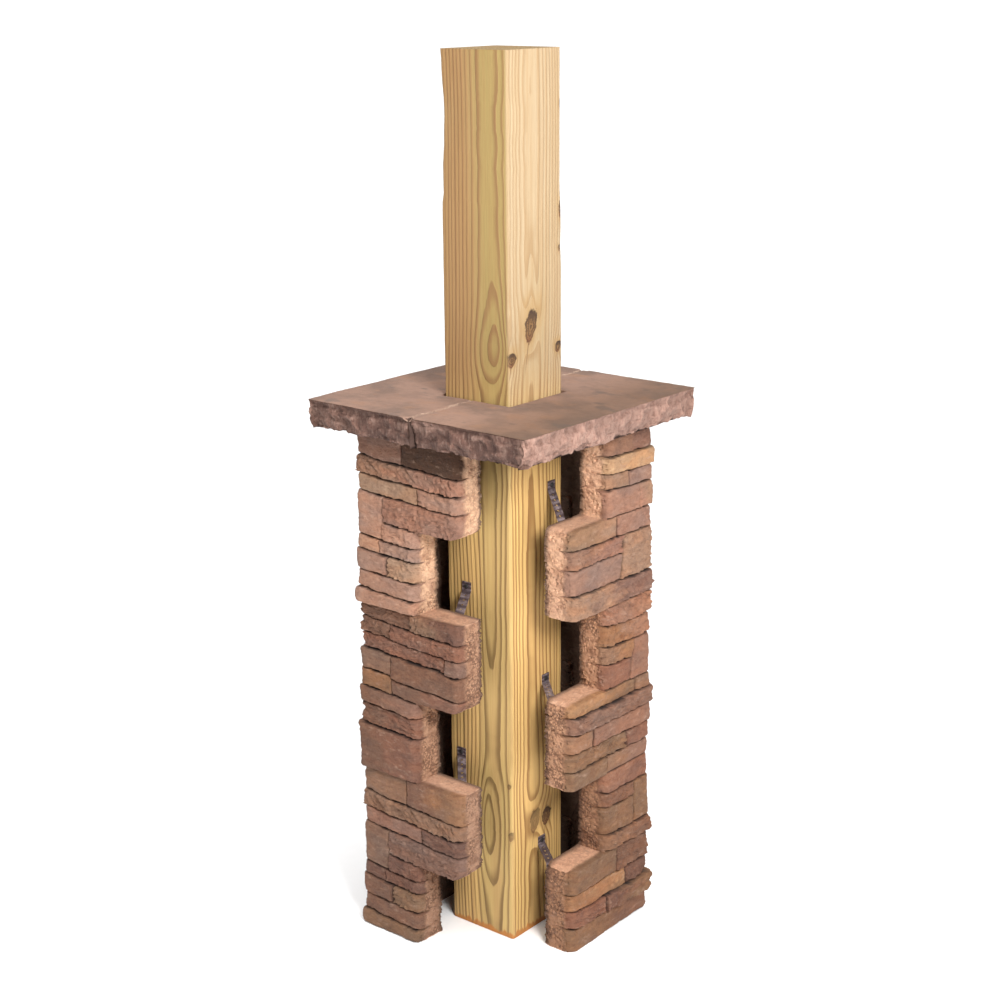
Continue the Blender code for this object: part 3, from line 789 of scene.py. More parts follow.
def colour_panel(piece, facts, names, tone, cast_tone_and_light, seed):
    """Colour every stone of a panel, leave its cast ends pale and mark joints and castings; its tones carry
    painted light and shade, its flat tops are painted paler as painted light and its backs darker as painted
    shade.
    """
    u, t, z = facts["u"], facts["t"], facts["z"]
    colours = np.empty((len(u), 3))
    patches = layered(u / 42, z / 15, seed + 5, 3)
    for index, stone in enumerate(facts["stones"]):
        mine = np.where(facts["owner"] == index)[0]
        number, part = divmod(stone.part, 10)
        entry = names[number].split()
        pair = entry[min(part, len(entry) - 1)].split(":")
        first = np.array(TINTS[pair[0]])
        last = np.array(TINTS[pair[-1]])
        inner = min(abs(stone.start), abs(stone.end)) if stone.start * stone.end > 0 else 0.0
        reach = max(abs(stone.start), abs(stone.end)) - inner
        share = (np.abs(u[mine]) - inner) / reach
        share = smooth_step(0.2, 0.8, share + 0.25 * patches[mine])
        rng = random.Random(seed * 31 + index)
        own_tone = tone * (1 + rng.uniform(-0.07, 0.07))
        colours[mine] = (first + (last - first) * share[:, None]) * own_tone
    warm = np.array((1.07, 0.99, 0.92))
    cool = np.array((0.93, 0.96, 1.0))
    blend = smooth_step(-0.8, 0.8, patches)[:, None]
    colours *= cool + (warm - cool) * blend
    cast = smooth_step(7.0, 19.0, t + 3.0 * noise(z / 9, t / 9, seed + 9))
    stain = smooth_step(0.25, 0.8, layered(t / 26 + u / 60, z / 20, seed + 15, 3))
    # Painted light: the flat tops and ledges, where the light from above falls, are painted paler than the
    # castings' sides
    flat = (z > MODULE_HEIGHT - TOP_GAP - ON_LINE) | (z < ON_LINE) | (np.abs(z - facts["step"]) < ON_LINE)
    casting_tone = np.where(flat[:, None], 0.45 * tone + 0.80, tone * cast_tone_and_light)
    pale = np.array((0.51, 0.315, 0.212)) * casting_tone
    brown = np.array((0.30, 0.160, 0.100)) * casting_tone
    casting = pale + (brown - pale) * (0.6 * stain * np.where(flat, 0.35, 1.0))[:, None]
    colours += (casting - colours) * cast[:, None]
    # Painted shade, partly a dirty rough back: the castings are darkened towards their backs, in the gap
    # between the panels and the post
    colours *= (1 - 0.72 * smooth_step(46.0, 59.0, t))[:, None]
    cast = cast * np.where(flat, 0.3, 1.0)
    joint = facts["groove"] * (1 - smooth_step(8.0, 20.0, t))
    marks = np.stack((joint, cast, np.zeros(len(u))), axis=1)
    paint(piece, "stone_colour", np.clip(colours, 0.0, 1.0))
    paint(piece, "stone_marks", marks)


def place_panel(piece, node, stack, module):
    """Stand a copy of a folded panel at its corner and level."""
    turn = Matrix.Rotation(stack.turn, 4, "Z")
    corner = Vector((
        stack.corner[0] * WRAP_SIDE / 2 + MODULE_SHIFTS.get(node, 0.0),
        stack.corner[1] * WRAP_SIDE / 2,
        module * MODULE_HEIGHT,
    ))
    piece.data.transform(Matrix.Translation(corner * MM) @ turn)
    piece.data.update()


def copy_piece(piece):
    """Copy a piece with its own mesh."""
    copied = piece.copy()
    copied.data = piece.data.copy()
    bpy.context.scene.collection.objects.link(copied)
    return copied


# Shader maths

class Wire:
    """A shader socket that takes part in Python arithmetic."""

    def __init__(self, graph, socket):
        self.graph = graph
        self.socket = socket

    def maths(self, operation, *others):
        """Add a Math node that works on this socket and others."""
        inputs = dict(enumerate((self, *others)))
        return self.graph.add("ShaderNodeMath", {"operation": operation}, inputs)

    def __add__(self, other):
        return self.maths("ADD", other)

    def __sub__(self, other):
        return self.maths("SUBTRACT", other)

    def __rsub__(self, other):
        return self.graph.add("ShaderNodeMath", {"operation": "SUBTRACT"}, {0: other, 1: self})

    def __mul__(self, other):
        return self.maths("MULTIPLY", other)

    def __truediv__(self, other):
        return self.maths("DIVIDE", other)

    def __pow__(self, other):
        return self.maths("POWER", other)

    __radd__ = __add__
    __rmul__ = __mul__


class Graph:
    """The node tree of a new material."""

    def __init__(self, name):
        self.material = bpy.data.materials.new(name)
        self.material.use_nodes = True
        self.tree = self.material.node_tree
        self.shader = self.tree.nodes["Principled BSDF"]

    def add(self, kind, settings=None, inputs=None, output=0):
        """Add a node: its settings first, then the values or links of its sockets."""
        node = self.tree.nodes.new(kind)
        for name, value in (settings or {}).items():
            setattr(node, name, value)
        for key, value in (inputs or {}).items():
            self.feed(node.inputs[key], value)
        return Wire(self, node.outputs[output])

    def feed(self, socket, value):
        """Link a socket or set its value."""
        if isinstance(value, Wire):
            self.tree.links.new(value.socket, socket)
        elif isinstance(value, tuple) and len(value) == 3 and socket.type == "RGBA":
            socket.default_value = (*value, 1.0)
        else:
            socket.default_value = value

    def mix(self, factor, first, second, blend="MIX"):
        """Mix two colours."""
        settings = {"data_type": "RGBA", "blend_type": blend, "clamp_factor": True}
        return self.add("ShaderNodeMix", settings, {0: factor, 6: first, 7: second}, 2)

    def rise(self, value, low, high, start=0.0, end=1.0):
        """A smooth rise from start to end while a value goes from low to high."""
        settings = {"interpolation_type": "SMOOTHSTEP", "clamp": True}
        inputs = {"Value": value, "From Min": low, "From Max": high, "To Min": start, "To Max": end}
        return self.add("ShaderNodeMapRange", settings, inputs)

    def coats(self, colour, rows):
        """Lay tints over a colour, each as far as its pattern rises from low to high."""
        for pattern, low, high, start, end, tint, blend in rows:
            colour = self.mix(self.rise(pattern, low, high, start, end), colour, tint, blend)
        return colour

    def mix_value(self, factor, first, second):
        """Mix two values."""
        return self.add("ShaderNodeMix", {"data_type": "FLOAT"}, {0: factor, 2: first, 3: second})

    def stretched(self, scale):
        """Object coordinates scaled along each axis."""
        place = self.add("ShaderNodeTexCoord", output="Object")
        return self.add("ShaderNodeMapping", {}, {"Vector": place, "Scale": scale})

    def places(self):
        """The three parts of the object coordinates."""
        place = self.add("ShaderNodeTexCoord", output="Object")
        return [self.add("ShaderNodeSeparateXYZ", {}, {"Vector": place}, index) for index in range(3)]

    def grain(self, scale, detail, roughness, stretch=(1.0, 1.0, 1.0), kind="FBM"):
        """Noise over the object, scale in features a metre."""
        inputs = {"Vector": self.stretched(stretch), "Scale": scale, "Detail": detail, "Roughness": roughness}
        return self.add("ShaderNodeTexNoise", {"noise_type": kind}, inputs)

    def cells(self, scale, stretch=(1.0, 1.0, 1.0)):
        """Distance to scattered points over the object."""
        inputs = {"Vector": self.stretched(stretch), "Scale": scale}
        return self.add("ShaderNodeTexVoronoi", {"feature": "F1"}, inputs)

    def bump(self, height, distance):
        """Bump from a height, with its depth in metres."""
        return self.add("ShaderNodeBump", {}, {"Height": height, "Distance": distance, "Strength": 1.0})

    def finish(self, colour, roughness, normal=None):
        """Feed the surface's colour, roughness and bump."""
        self.feed(self.shader.inputs["Base Color"], colour)
        self.feed(self.shader.inputs["Roughness"], roughness)
        if normal is not None:
            self.feed(self.shader.inputs["Normal"], normal)
        return self.material


def attribute_parts(graph, name):
    """The red, green and blue of a kept colour."""
    kept = graph.add("ShaderNodeAttribute", {"attribute_name": name}, {}, "Color")
    return [graph.add("ShaderNodeSeparateColor", {}, {"Color": kept}, index) for index in range(3)]


def cast_stone_material(look):
    """Integrally coloured concrete: mottled stone faces, pale granular castings, dark joints."""
    graph = Graph("cast_stone")
    colour = graph.add("ShaderNodeAttribute", {"attribute_name": "stone_colour"}, {}, "Color")
    joint, cast, _ = attribute_parts(graph, "stone_marks")
    broad = graph.grain(24.0, 4.0, 0.6)
    cleft = graph.grain(46.0, 5.0, 0.68, (1.0, 1.0, 2.4))
    middle = graph.grain(110.0, 4.0, 0.65, (1.0, 1.0, 1.5))
    hewn = graph.grain(62.0, 4.0, 0.6, (1.0, 1.0, 1.9), "RIDGED_MULTIFRACTAL")
    stone = 1.0 - cast * 0.7
    fine = graph.grain(430.0, 3.0, 0.7)
    sand = graph.cells(480.0)
    granules = graph.cells(215.0)
    holes = graph.cells(150.0)
    colour = graph.coats(colour, (
        (broad, 0.38, 0.66, 0.0, 0.30, (1.12, 1.0, 0.90), "MULTIPLY"),
        (broad, 0.34, 0.50, 0.40, 0.0, (0.76, 0.73, 0.76), "MULTIPLY"),
        (cleft, 0.36, 0.50, 0.50, 0.0, (0.66, 0.58, 0.56), "MULTIPLY"),
        (cleft, 0.55, 0.70, 0.0, 0.42, (0.36, 0.235, 0.170), "MIX"),
        (middle, 0.30, 0.52, 0.50, 0.0, (0.62, 0.54, 0.51), "MULTIPLY"),
    ))
    # Painted shade: the hollows between the hewn ridges are darkened
    cracks = graph.rise(hewn, 0.05, 0.45, 0.38, 0.0) * stone
    colour = graph.mix(cracks, colour, (0.55, 0.45, 0.41), "MULTIPLY")
    colour = graph.coats(colour, (
        (fine, 0.30, 0.46, 0.50, 0.0, (0.50, 0.43, 0.40), "MULTIPLY"),
        (fine, 0.60, 0.80, 0.0, 0.30, (0.42, 0.285, 0.210), "MIX"),
    ))
    _, _, z = graph.places()
    upper = graph.rise(z, 0.60, 0.70)
    crumbly = cast * graph.rise(broad + upper * -0.05, 0.45, 0.53, 0.12, 1.0) * (1.0 - upper * 0.60)
    # Painted shade: the gaps between the granules and the air holes of the crumbly castings are darkened
    gaps = graph.rise(granules, 0.42, 0.62) * crumbly
    colour = graph.mix(gaps * 0.75, colour, (0.115, 0.052, 0.030))
    bubble = (1.0 - graph.rise(holes, 0.08, 0.20)) * crumbly
    colour = graph.mix(bubble * 0.8, colour, (0.075, 0.032, 0.018))
    colour = graph.mix(joint * 0.96, colour, (0.014, 0.006, 0.004))
    crumbs = (1.0 - graph.rise(sand, 0.10, 0.55)) * 0.5
    height = fine * 0.7 + middle * 1.1 + (cleft * 2.2 + hewn * 0.8) * stone + crumbs * (0.4 + cast * 0.8)
    height = height + crumbly * (1.0 - graph.rise(granules, 0.08, 0.62)) * 1.3 - bubble * 1.2
    return graph.finish(colour, 0.93, graph.bump(height, look.grain_depth))


def cap_material(look):
    """Trowelled slab top mottled brown and grey, over a rough split edge with painted shade in its seam and
    hollows, painted highlights on its flakes and a paler lit copy on its +X side.
    """
    graph = Graph("cast_cap")
    split, seam, dark = attribute_parts(graph, "cap_marks_and_shade")
    x, _, _ = graph.places()
    broad = graph.grain(8.0, 4.0, 0.6)
    patch = graph.grain(15.0, 4.0, 0.6, (1.0, 1.5, 1.0))
    trowel = graph.grain(55.0, 4.0, 0.65, (1.0, 2.4, 1.0))
    rock = graph.grain(85.0, 5.0, 0.7, (1.0, 1.0, 1.3))
    tooling = graph.grain(260.0, 3.0, 0.6, (1.0, 1.0, 0.22))
    flake = graph.cells(38.0, (1.0, 1.0, 1.3)) + (rock - 0.5) * 0.7
    fine = graph.grain(620.0, 3.0, 0.7)
    top = graph.mix(graph.rise(broad, 0.38, 0.62), (0.180, 0.110, 0.080), (0.275, 0.162, 0.115))
    top = graph.coats(top, (
        (patch, 0.54, 0.70, 0.0, 0.60, (0.290, 0.155, 0.092), "MIX"),
        (patch, 0.30, 0.44, 0.75, 0.0, (0.132, 0.092, 0.075), "MIX"),
        (trowel, 0.34, 0.56, 0.35, 0.0, (0.76, 0.71, 0.70), "MULTIPLY"),
        (x, 0.02, 0.20, 0.0, 0.95, (0.60, 0.54, 0.45), "MULTIPLY"),
    ))
    # Painted light and shade: the split edge is a darker shaded copy of its colour, with a paler lit copy on
    # the +X side where the light falls
    lit = graph.rise(x, 0.205, 0.222)
    side = graph.mix(graph.rise(broad, 0.36, 0.64), (0.122, 0.057, 0.040), (0.180, 0.094, 0.068))
    side = graph.mix(lit, side, (0.330, 0.192, 0.146))
    side = graph.coats(side, (
        # Partly the split stone's mottling, partly painted shade in the flakes' hollows and painted
        # highlights on their ridges
        (flake, 0.10, 0.40, 0.50, 0.0, (0.50, 0.41, 0.37), "MULTIPLY"),
        (flake, 0.55, 0.85, 0.0, 0.38, (0.400, 0.255, 0.198), "MIX"),
        (rock, 0.38, 0.50, 0.40, 0.0, (0.58, 0.49, 0.45), "MULTIPLY"),
        (tooling, 0.36, 0.50, 0.45, 0.0, (0.50, 0.40, 0.36), "MULTIPLY"),
        (tooling, 0.54, 0.66, 0.0, 0.30, (0.430, 0.290, 0.230), "MIX"),
    ))
    colour = graph.mix(split, top, side)
    colour = graph.coats(colour, (
        (fine, 0.30, 0.46, 0.38, 0.0, (0.58, 0.52, 0.50), "MULTIPLY"),
        (fine, 0.60, 0.80, 0.0, 0.16, (0.46, 0.33, 0.26), "MIX"),
    ))
    colour = graph.mix(seam * graph.rise(fine, 0.40, 0.60, 0.05, 0.95), colour, (0.50, 0.35, 0.26))
    # Painted shade: the seam and the deep hollows are darkened, less on the lit +X edge
    colour = graph.mix(dark * graph.mix_value(lit, 0.88, 0.55), colour, (0.030, 0.012, 0.008))
    height = fine * (0.35 + split * 0.6) + trowel * (1.0 - split) * 0.4
    height = height + split * (rock * 1.2 + flake * 2.4 + tooling * 0.8)
    return graph.finish(colour, 0.86, graph.bump(height, look.grain_depth))


class Figure(NamedTuple):
    """A dip of the rings seen on one face: its face, place, spread and shift in millimetres."""

    face: str
    along: float
    level: float
    wide: float
    tall: float
    shift: float


# Where branches and dips bend the rings, read from the photograph
FIGURES = (
    Figure("left", 38.0, 1050.0, 29.0, 50.0, -7.5),
    Figure("left", 46.0, 1088.0, 10.0, 50.0, -5.5),
    Figure("left", 20.0, 968.0, 34.0, 34.0, 6.0),
    Figure("left", 17.0, 190.0, 24.0, 62.0, -10.0),
    Figure("left", 13.0, 225.0, 9.0, 46.0, -6.5),
    Figure("left", 24.0, 640.0, 14.0, 110.0, -8.0),
    Figure("left", -22.0, 480.0, 16.0, 120.0, 4.0),
    Figure("right", -14.0, 1080.0, 17.0, 38.0, 12.0),
    Figure("right", -11.0, 1160.0, 7.0, 60.0, 6.0),
    Figure("right", -8.0, 205.0, 15.0, 30.0, 11.0),
    Figure("right", 25.0, 204.0, 12.0, 24.0, 10.0),
    Figure("right", 22.0, 560.0, 18.0, 120.0, 8.0),
    Figure("right", 56.0, 1042.0, 9.0, 16.0, 7.0),
    Figure("right", -58.0, 1035.0, 12.0, 20.0, 8.0),
)


class Knot(NamedTuple):
    """A knot on one face: its place and half sizes in millimetres, and how dark its body is."""

    face: str
    along: float
    level: float
    wide: float
    tall: float
    dark: float


KNOTS = (
    Knot("right", -14.0, 1086.0, 15.0, 30.0, 1.0),
    Knot("right", -61.0, 1037.0, 11.0, 13.0, 1.0),
    Knot("right", 58.0, 1042.0, 8.0, 10.0, 1.0),
    Knot("right", 66.0, 1270.0, 5.0, 17.0, 1.0),
    Knot("right", 67.0, 1438.0, 4.0, 10.0, 0.9),
    Knot("right", 63.0, 1205.0, 4.0, 6.0, 0.8),
    Knot("right", -7.0, 205.0, 13.0, 23.0, 0.75),
    Knot("right", 25.0, 204.0, 12.0, 19.0, 1.0),
    Knot("left", 66.0, 196.0, 6.0, 9.0, 0.7),
    Knot("left", 62.0, 290.0, 4.0, 6.0, 0.7),
)


def on_face(graph, x, y, face):
    """Where a face's own position runs, and a mask that is 1 on that face."""
    edge = (POST_SIDE / 2 - 2.0) * MM
    if face == "left":
        return x, graph.rise(y * -1.0, edge - 0.006, edge)
    return y, graph.rise(x, edge - 0.006, edge)


def ring_distance(graph, x, y, z):
    """Distance from the tree's pith, which wanders a little, with dips and branches."""
    wander = graph.grain(1.6, 1.0, 0.4, (0.02, 0.02, 1.0))
    drift = graph.grain(2.1, 1.0, 0.4, (0.02, 0.02, 0.8))
    across = x - PITH[0] * MM - (wander - 0.5) * 0.022
    deep = y - PITH[1] * MM - (drift - 0.5) * 0.022
    radius = (across * across + deep * deep) ** 0.5
    radius = radius + (graph.grain(7.0, 2.0, 0.5, (1.0, 1.0, 0.10)) - 0.5) * 0.006
    radius = radius + (graph.grain(70.0, 2.0, 0.5, (1.0, 1.0, 0.05)) - 0.5) * 0.0018
    for figure in FIGURES:
        along, mask = on_face(graph, x, y, figure.face)
        wide = (along - figure.along * MM) / (figure.wide * MM)
        tall = (z - figure.level * MM) / (figure.tall * MM)
        bulge = ((wide * wide + tall * tall) * -0.5).maths("EXPONENT")
        radius = radius + bulge * mask * (figure.shift * MM)
    return radius


def pine_colour(graph, x, y, z, tone, streak):
    """The wood between the ring lines: green and pink casts, cream where the light face is clear."""
    _, left = on_face(graph, x, y, "left")
    _, right = on_face(graph, x, y, "right")
    high = graph.rise(z, 0.88, 1.05)
    pale = graph.mix(high, (0.520, 0.350, 0.118), (0.360, 0.252, 0.105))
    olive = left * graph.rise(x + (tone - 0.5) * 0.05, -0.014, 0.012)
    pink = left * high * (1.0 - graph.rise(x + (tone - 0.5) * 0.04, -0.030, 0.004))
    pale = graph.mix(pink * 0.85, pale, (0.330, 0.188, 0.078))
    green = graph.mix(high, (0.385, 0.285, 0.100), (0.285, 0.215, 0.070))
    pale = graph.mix(olive * (0.80 - high * 0.25), pale, green)
    cream = right * high * graph.rise(tone, 0.66, 0.36, 0.65, 1.0)
    pale = graph.mix(cream, pale, (0.400, 0.300, 0.172))
    pale = graph.coats(pale, (
        (tone, 0.54, 0.72, 0.0, 0.40, (0.33, 0.245, 0.075), "MIX"),
        (streak, 0.38, 0.66, 0.0, 0.40, (0.33, 0.195, 0.072), "MIX"),
    ))
    pale = graph.mix(1.0 - high, pale, (1.20, 1.13, 1.20), "MULTIPLY")
    pale = graph.mix(left * high, pale, (0.90, 0.87, 0.79), "MULTIPLY")
    pale = graph.mix(right * high, pale, (0.93, 0.93, 1.0), "MULTIPLY")
    line = graph.mix(left, (0.225, 0.105, 0.028), (0.165, 0.092, 0.028))
    line = graph.mix(left * high, line, (0.200, 0.098, 0.034))
    line = graph.mix(right * high, line, (0.290, 0.185, 0.088))
    return pale, line


def add_knots(graph, x, y, z, colour, streak):
    """Lay the knots over the wood: a dark broken rim round a rusty, ringed body."""
    blot = graph.grain(110.0, 3.0, 0.65)
    crack = graph.grain(420.0, 3.0, 0.7)
    for knot in KNOTS:
        along, mask = on_face(graph, x, y, knot.face)
        wide = (along - knot.along * MM - (z - knot.level * MM) * 0.17) / (knot.wide * MM)
        tall = (z - knot.level * MM) / (knot.tall * MM)
        wide = wide / (1.0 + tall * 0.34)
        distance = (wide * wide + tall * tall) ** 0.5 + (blot - 0.5) * 0.75 + (streak - 0.5) * 0.30
        body = (1.0 - graph.rise(distance, 0.84, 1.06)) * mask
        halo = (1.0 - graph.rise(distance, 0.9, 2.4)) * mask
        rim = graph.rise(distance, 0.50, 0.80) * graph.rise(tall, -0.5, 0.45, 0.25, 1.0)
        wave = graph.rise((distance * 2.6 + crack * 1.1).maths("FRACT"), 0.25, 0.75)
        heart = graph.mix(wave, (0.165, 0.084, 0.027), (0.062, 0.027, 0.009))
        heart = graph.mix(graph.rise(tall, -0.2, -0.8) * 0.50, heart, (0.150, 0.050, 0.018))
        arch = graph.rise(tall + (blot - 0.5) * 0.8, 0.15, 0.60)
        heart = graph.mix(arch * 0.85, heart, (0.052, 0.024, 0.008))
        heart = graph.mix(rim * graph.rise(blot, 0.40, 0.56, 1.0, 0.35), heart, (0.032, 0.012, 0.004))
        colour = graph.mix(halo * 0.50 * knot.dark, colour, (0.30, 0.175, 0.058))
        colour = graph.mix(body * knot.dark, colour, heart)
        split = (1.0 - graph.rise(wide * wide, 0.004, 0.016)) * mask
        split = split * graph.rise(tall, -2.9, -2.2) * (1.0 - graph.rise(tall, -1.0, -0.7))
        colour = graph.mix(split * 0.7 * knot.dark, colour, (0.085, 0.034, 0.012))
    return colour


def pine_material(look):
    """Sawn treated pine: growth rings round a wandering pith, knots, green cast and a rusty foot."""
    graph = Graph("treated_pine")
    x, y, z = graph.places()
    rings = ring_distance(graph, x, y, z) / look.ring_width
    phase = rings.maths("FRACT")
    year = graph.add("ShaderNodeTexWhiteNoise", {"noise_dimensions": "1D"}, {"W": rings.maths("FLOOR")})
    late = graph.rise(phase, 0.40, 0.84) * (1.0 - graph.rise(phase, 0.93, 1.0))
    fibre = graph.grain(900.0, 2.0, 0.6, (1.0, 1.0, 0.012))
    streak = graph.grain(90.0, 3.0, 0.6, (1.0, 1.0, 0.02))
    tone = graph.grain(7.0, 3.0, 0.5, (1.0, 1.0, 0.16))
    pale, line = pine_colour(graph, x, y, z, tone, streak)
    strength = late * (0.52 + year * 0.48 + (streak - 0.5) * 0.7)
    colour = graph.mix(strength, pale, line)
    colour = graph.mix(graph.rise(fibre, 0.36, 0.60, 0.28, 0.0), colour, (0.66, 0.58, 0.46), "MULTIPLY")
    colour = add_knots(graph, x, y, z, colour, streak)
    rust = 1.0 - graph.rise(z + (streak - 0.5) * 0.026, 0.006, 0.012)
    colour = graph.mix(rust * 0.95, colour, (0.400, 0.150, 0.030))
    height = fibre * 0.35 + late * 0.8 + streak * 0.4
    return graph.finish(colour, 0.72, graph.bump(height, 0.0006))


def galvanised_material():
    """Weathered zinc with cross ribs, duller in its hollows."""
    graph = Graph("galvanised_strap")
    spangle = graph.grain(300.0, 3.0, 0.6)
    bloom = graph.grain(90.0, 3.0, 0.6)
    ribs = graph.add("ShaderNodeTexWave", {"wave_type": "BANDS", "bands_direction": "Z"}, {
        "Vector": graph.stretched((1.0, 1.0, 1.0)), "Scale": 47.0, "Distortion": 0.8, "Detail": 1.0,
    })
    colour = graph.mix(graph.rise(bloom, 0.35, 0.65), (0.135, 0.098, 0.105), (0.330, 0.265, 0.275))
    colour = graph.coats(colour, (
        (ribs, 0.10, 0.60, 0.75, 0.0, (0.060, 0.036, 0.038), "MIX"),
        (spangle, 0.40, 0.62, 0.35, 0.0, (0.08, 0.06, 0.06), "MIX"),
    ))
    graph.feed(graph.shader.inputs["Metallic"], 0.45)
    height = ribs * 1.0 + spangle * 0.2
    return graph.finish(colour, graph.rise(spangle, 0.3, 0.7, 0.48, 0.70), graph.bump(height, 0.0012))


def nail_material():
    """Dark steel, dull and slightly pitted."""
    graph = Graph("nail_steel")
    pits = graph.grain(900.0, 3.0, 0.6)
    colour = graph.mix(graph.rise(pits, 0.35, 0.65), (0.035, 0.032, 0.032), (0.11, 0.10, 0.10))
    graph.feed(graph.shader.inputs["Metallic"], 0.8)
    return graph.finish(colour, graph.rise(pits, 0.3, 0.7, 0.40, 0.65), graph.bump(pits, 0.0004))


def floor_material(colour):
    """A plain pale studio floor with a faint even grain."""
    graph = Graph("studio_floor")
    grain = graph.grain(40.0, 2.0, 0.5)
    shade = graph.mix(graph.rise(grain, 0.3, 0.7), tuple(colour), tuple(part * 0.985 for part in colour))
    return graph.finish(shade, 0.9)


# Cap

def carve_cap(piece, seed):
    """Sculpt the rock-faced edge of a cap half, measured along the slab's outer edge."""
    points = points_of(piece)
    x, y, down = points.T
    level = CAP_THICKNESS + down
    half = CAP_SIDE / 2
    on_x = np.abs(np.abs(x) - half) < ON_LINE
    on_y = np.abs(np.abs(y) - half) < ON_LINE
    run = np.where(on_x, y + np.sign(x) * 900, x + np.sign(y) * 300)
    wave = layered(run / 55, level / 60, seed, 2)
    scoop, number = nearest_point(run / 30 + 0.35 * wave, level / 26 + 0.30 * wave, seed + 3)
    chip, chip_number = nearest_point(run / 13 + 0.4 * wave, level / 12, seed + 5)
    tool = layered(run / 5.0 + 0.2 * level, level / 17, seed + 9, 2)
    strata = level / 21 + 0.35 + 0.45 * layered(run / 60, level / 70, seed + 15, 2)
    strata = strata - np.floor(strata)
    relief = 5.6 * (1 - np.clip(scoop, 0.0, 0.75) ** 2 * 1.75) + 3.2 * number
    relief += 2.0 * (0.55 - np.clip(chip, 0.0, 0.8) ** 2) + 1.4 * chip_number
    relief += 3.4 * (1 - strata) * smooth_step(0.0, 0.16, strata)
    relief += 0.9 * tool + 1.2 * wave + 0.5 * layered(run / 3.0, level / 3.4, seed + 10, 2)
    share = level / CAP_THICKNESS
    lean = 3.0 * np.clip((share - 0.80) / 0.20, 0.0, 1.0) ** 2
    lean = lean + 6.0 * np.clip((0.34 - share) / 0.34, 0.0, 1.0) ** 1.4
    kept = 1 - 0.62 * smooth_step(0.80, 1.0, share)
    beside = np.abs(x - CAP_SEAM_PLACE) - CAP_SEAM / 2
    side = np.sign(x - CAP_SEAM_PLACE)
    notch = smooth_step(5.5, 0.0, beside + 2.2 * noise(level / 6, side * 3, seed + 45))
    notch = notch * (4.0 + 5.0 * smooth_step(0.70, 0.98, share))
    inset = np.clip((relief - 1.6) * kept + lean + notch * on_y, 0.0, 15.0)
    points[:, 0] = np.where(on_x, x - np.sign(x) * inset, x)
    points[:, 1] = np.where(on_y, y - np.sign(y) * inset, y)
    ragged = 2.4 * layered(run / 8, run / 37, seed + 13, 3) + 1.0 * noise(run / 2.6, run / 19, seed + 14)
    lift = np.clip(ragged + 1.9, 0.0, 5.5) * smooth_step(0.22, 0.0, share)
    points[:, 2] = np.where(on_x | on_y, down + lift, down)
    top = down > -0.01
    from_edge = np.minimum(half - np.abs(x), half - np.abs(y))
    swell = 0.5 * layered(x / 70, y / 70, seed + 21, 2) + 0.22 * layered(x / 9, y / 9, seed + 23, 2)
    round_over = 1.8 * np.clip(1 - from_edge / 4.0, 0.0, 1.0) ** 2
    points[:, 2] = np.where(top, swell - 0.6 - round_over, points[:, 2])
    hole = (np.abs(x) < CAP_HOLE / 2 + ON_LINE) & (np.abs(y) < CAP_HOLE / 2 + ON_LINE)
    split = np.where(on_x | on_y, smooth_step(1.02, 0.93, share), 0.0)
    split = np.where(hole & ~top, 0.6, split)
    split = np.maximum(split, np.where(share < 0.02, 0.8, 0.0))
    wander = 2.2 * layered(y / 24, down / 17, seed + 35, 3)
    broken = 0.7 * np.abs(noise(y / 3.1 + side * 9, down / 5, seed + 37))
    near = smooth_step(14.0, 0.0, beside)
    points[:, 0] += near * wander - side * broken * smooth_step(0.5, 0.0, beside) * 0.8
    patchy = 0.25 + 0.75 * smooth_step(-0.5, 0.3, layered(y / 11, side * 3, seed + 39, 2))
    seam = smooth_step(5.0, 1.0, beside + 2.6 * noise(x / 3, y / 4, seed + 31)) * top * patchy
    rough = smooth_step(5.0, 0.4, beside) * top * np.abs(noise(y / 3.5, x / 3, seed + 33))
    points[:, 2] -= 1.5 * rough
    from_chip = np.hypot(beside, half - np.abs(y)) + 3.0 * noise(x / 5, y / 5, seed + 47)
    points[:, 2] -= 5.0 * smooth_step(13.0, 3.0, from_chip) * top
    # Painted shade: darkened in the seam between the halves below the top, and in the deep hollows of the
    # split edge
    dark = smooth_step(3.0, 0.3, beside) * (share < 0.97)
    hollow_shade = smooth_step(4.5, 9.5, relief) * (on_x | on_y) * smooth_step(1.0, 0.86, share)
    dark = np.maximum(dark, 0.50 * hollow_shade)
    points[:, 2] += WRAP_HEIGHT + CAP_THICKNESS
    move_points(piece, points)
    paint(piece, "cap_marks_and_shade", np.stack((split, seam, dark), axis=1))


def model_cap_half(side):
    """Model half of the slab: a sheet cut round the hole, its rim extruded down, then carved."""
    half = CAP_SIDE / 2
    hole = CAP_HOLE / 2
    near, far = sorted((CAP_SEAM_PLACE + side * CAP_SEAM / 2, side * half))
    across = lines_between(near, far, [near, far, side * hole], CAP_SPACING, CAP_LINES)
    up = lines_between(-half, half, [-half, half, -hole, hole], CAP_SPACING, CAP_LINES)
    piece = add_sheet(across, up, "up")
    delete_faces(piece, lambda middle: max(abs(middle.x), abs(middle.y)) < hole)
    depths = [CAP_THICKNESS * index / CAP_STEPS for index in range(1, CAP_STEPS + 1)]
    extrude_rim(piece, (0, 0, -1), depths)
    bpy.ops.mesh.select_all(action="SELECT")
    bpy.ops.mesh.normals_make_consistent(inside=False)
    bpy.ops.object.mode_set(mode="OBJECT")
    carve_cap(piece, 11)
    return piece


# Post

def select_upright(piece, shape):
    """Select the post's upright edges alone."""
    bpy.ops.mesh.select_all(action="DESELECT")
    for edge in shape.edges:
        if abs(edge.verts[0].co.z - edge.verts[1].co.z) > POST_HEIGHT * MM / 2:
            edge.select_set(True)
    bmesh.update_edit_mesh(piece.data)


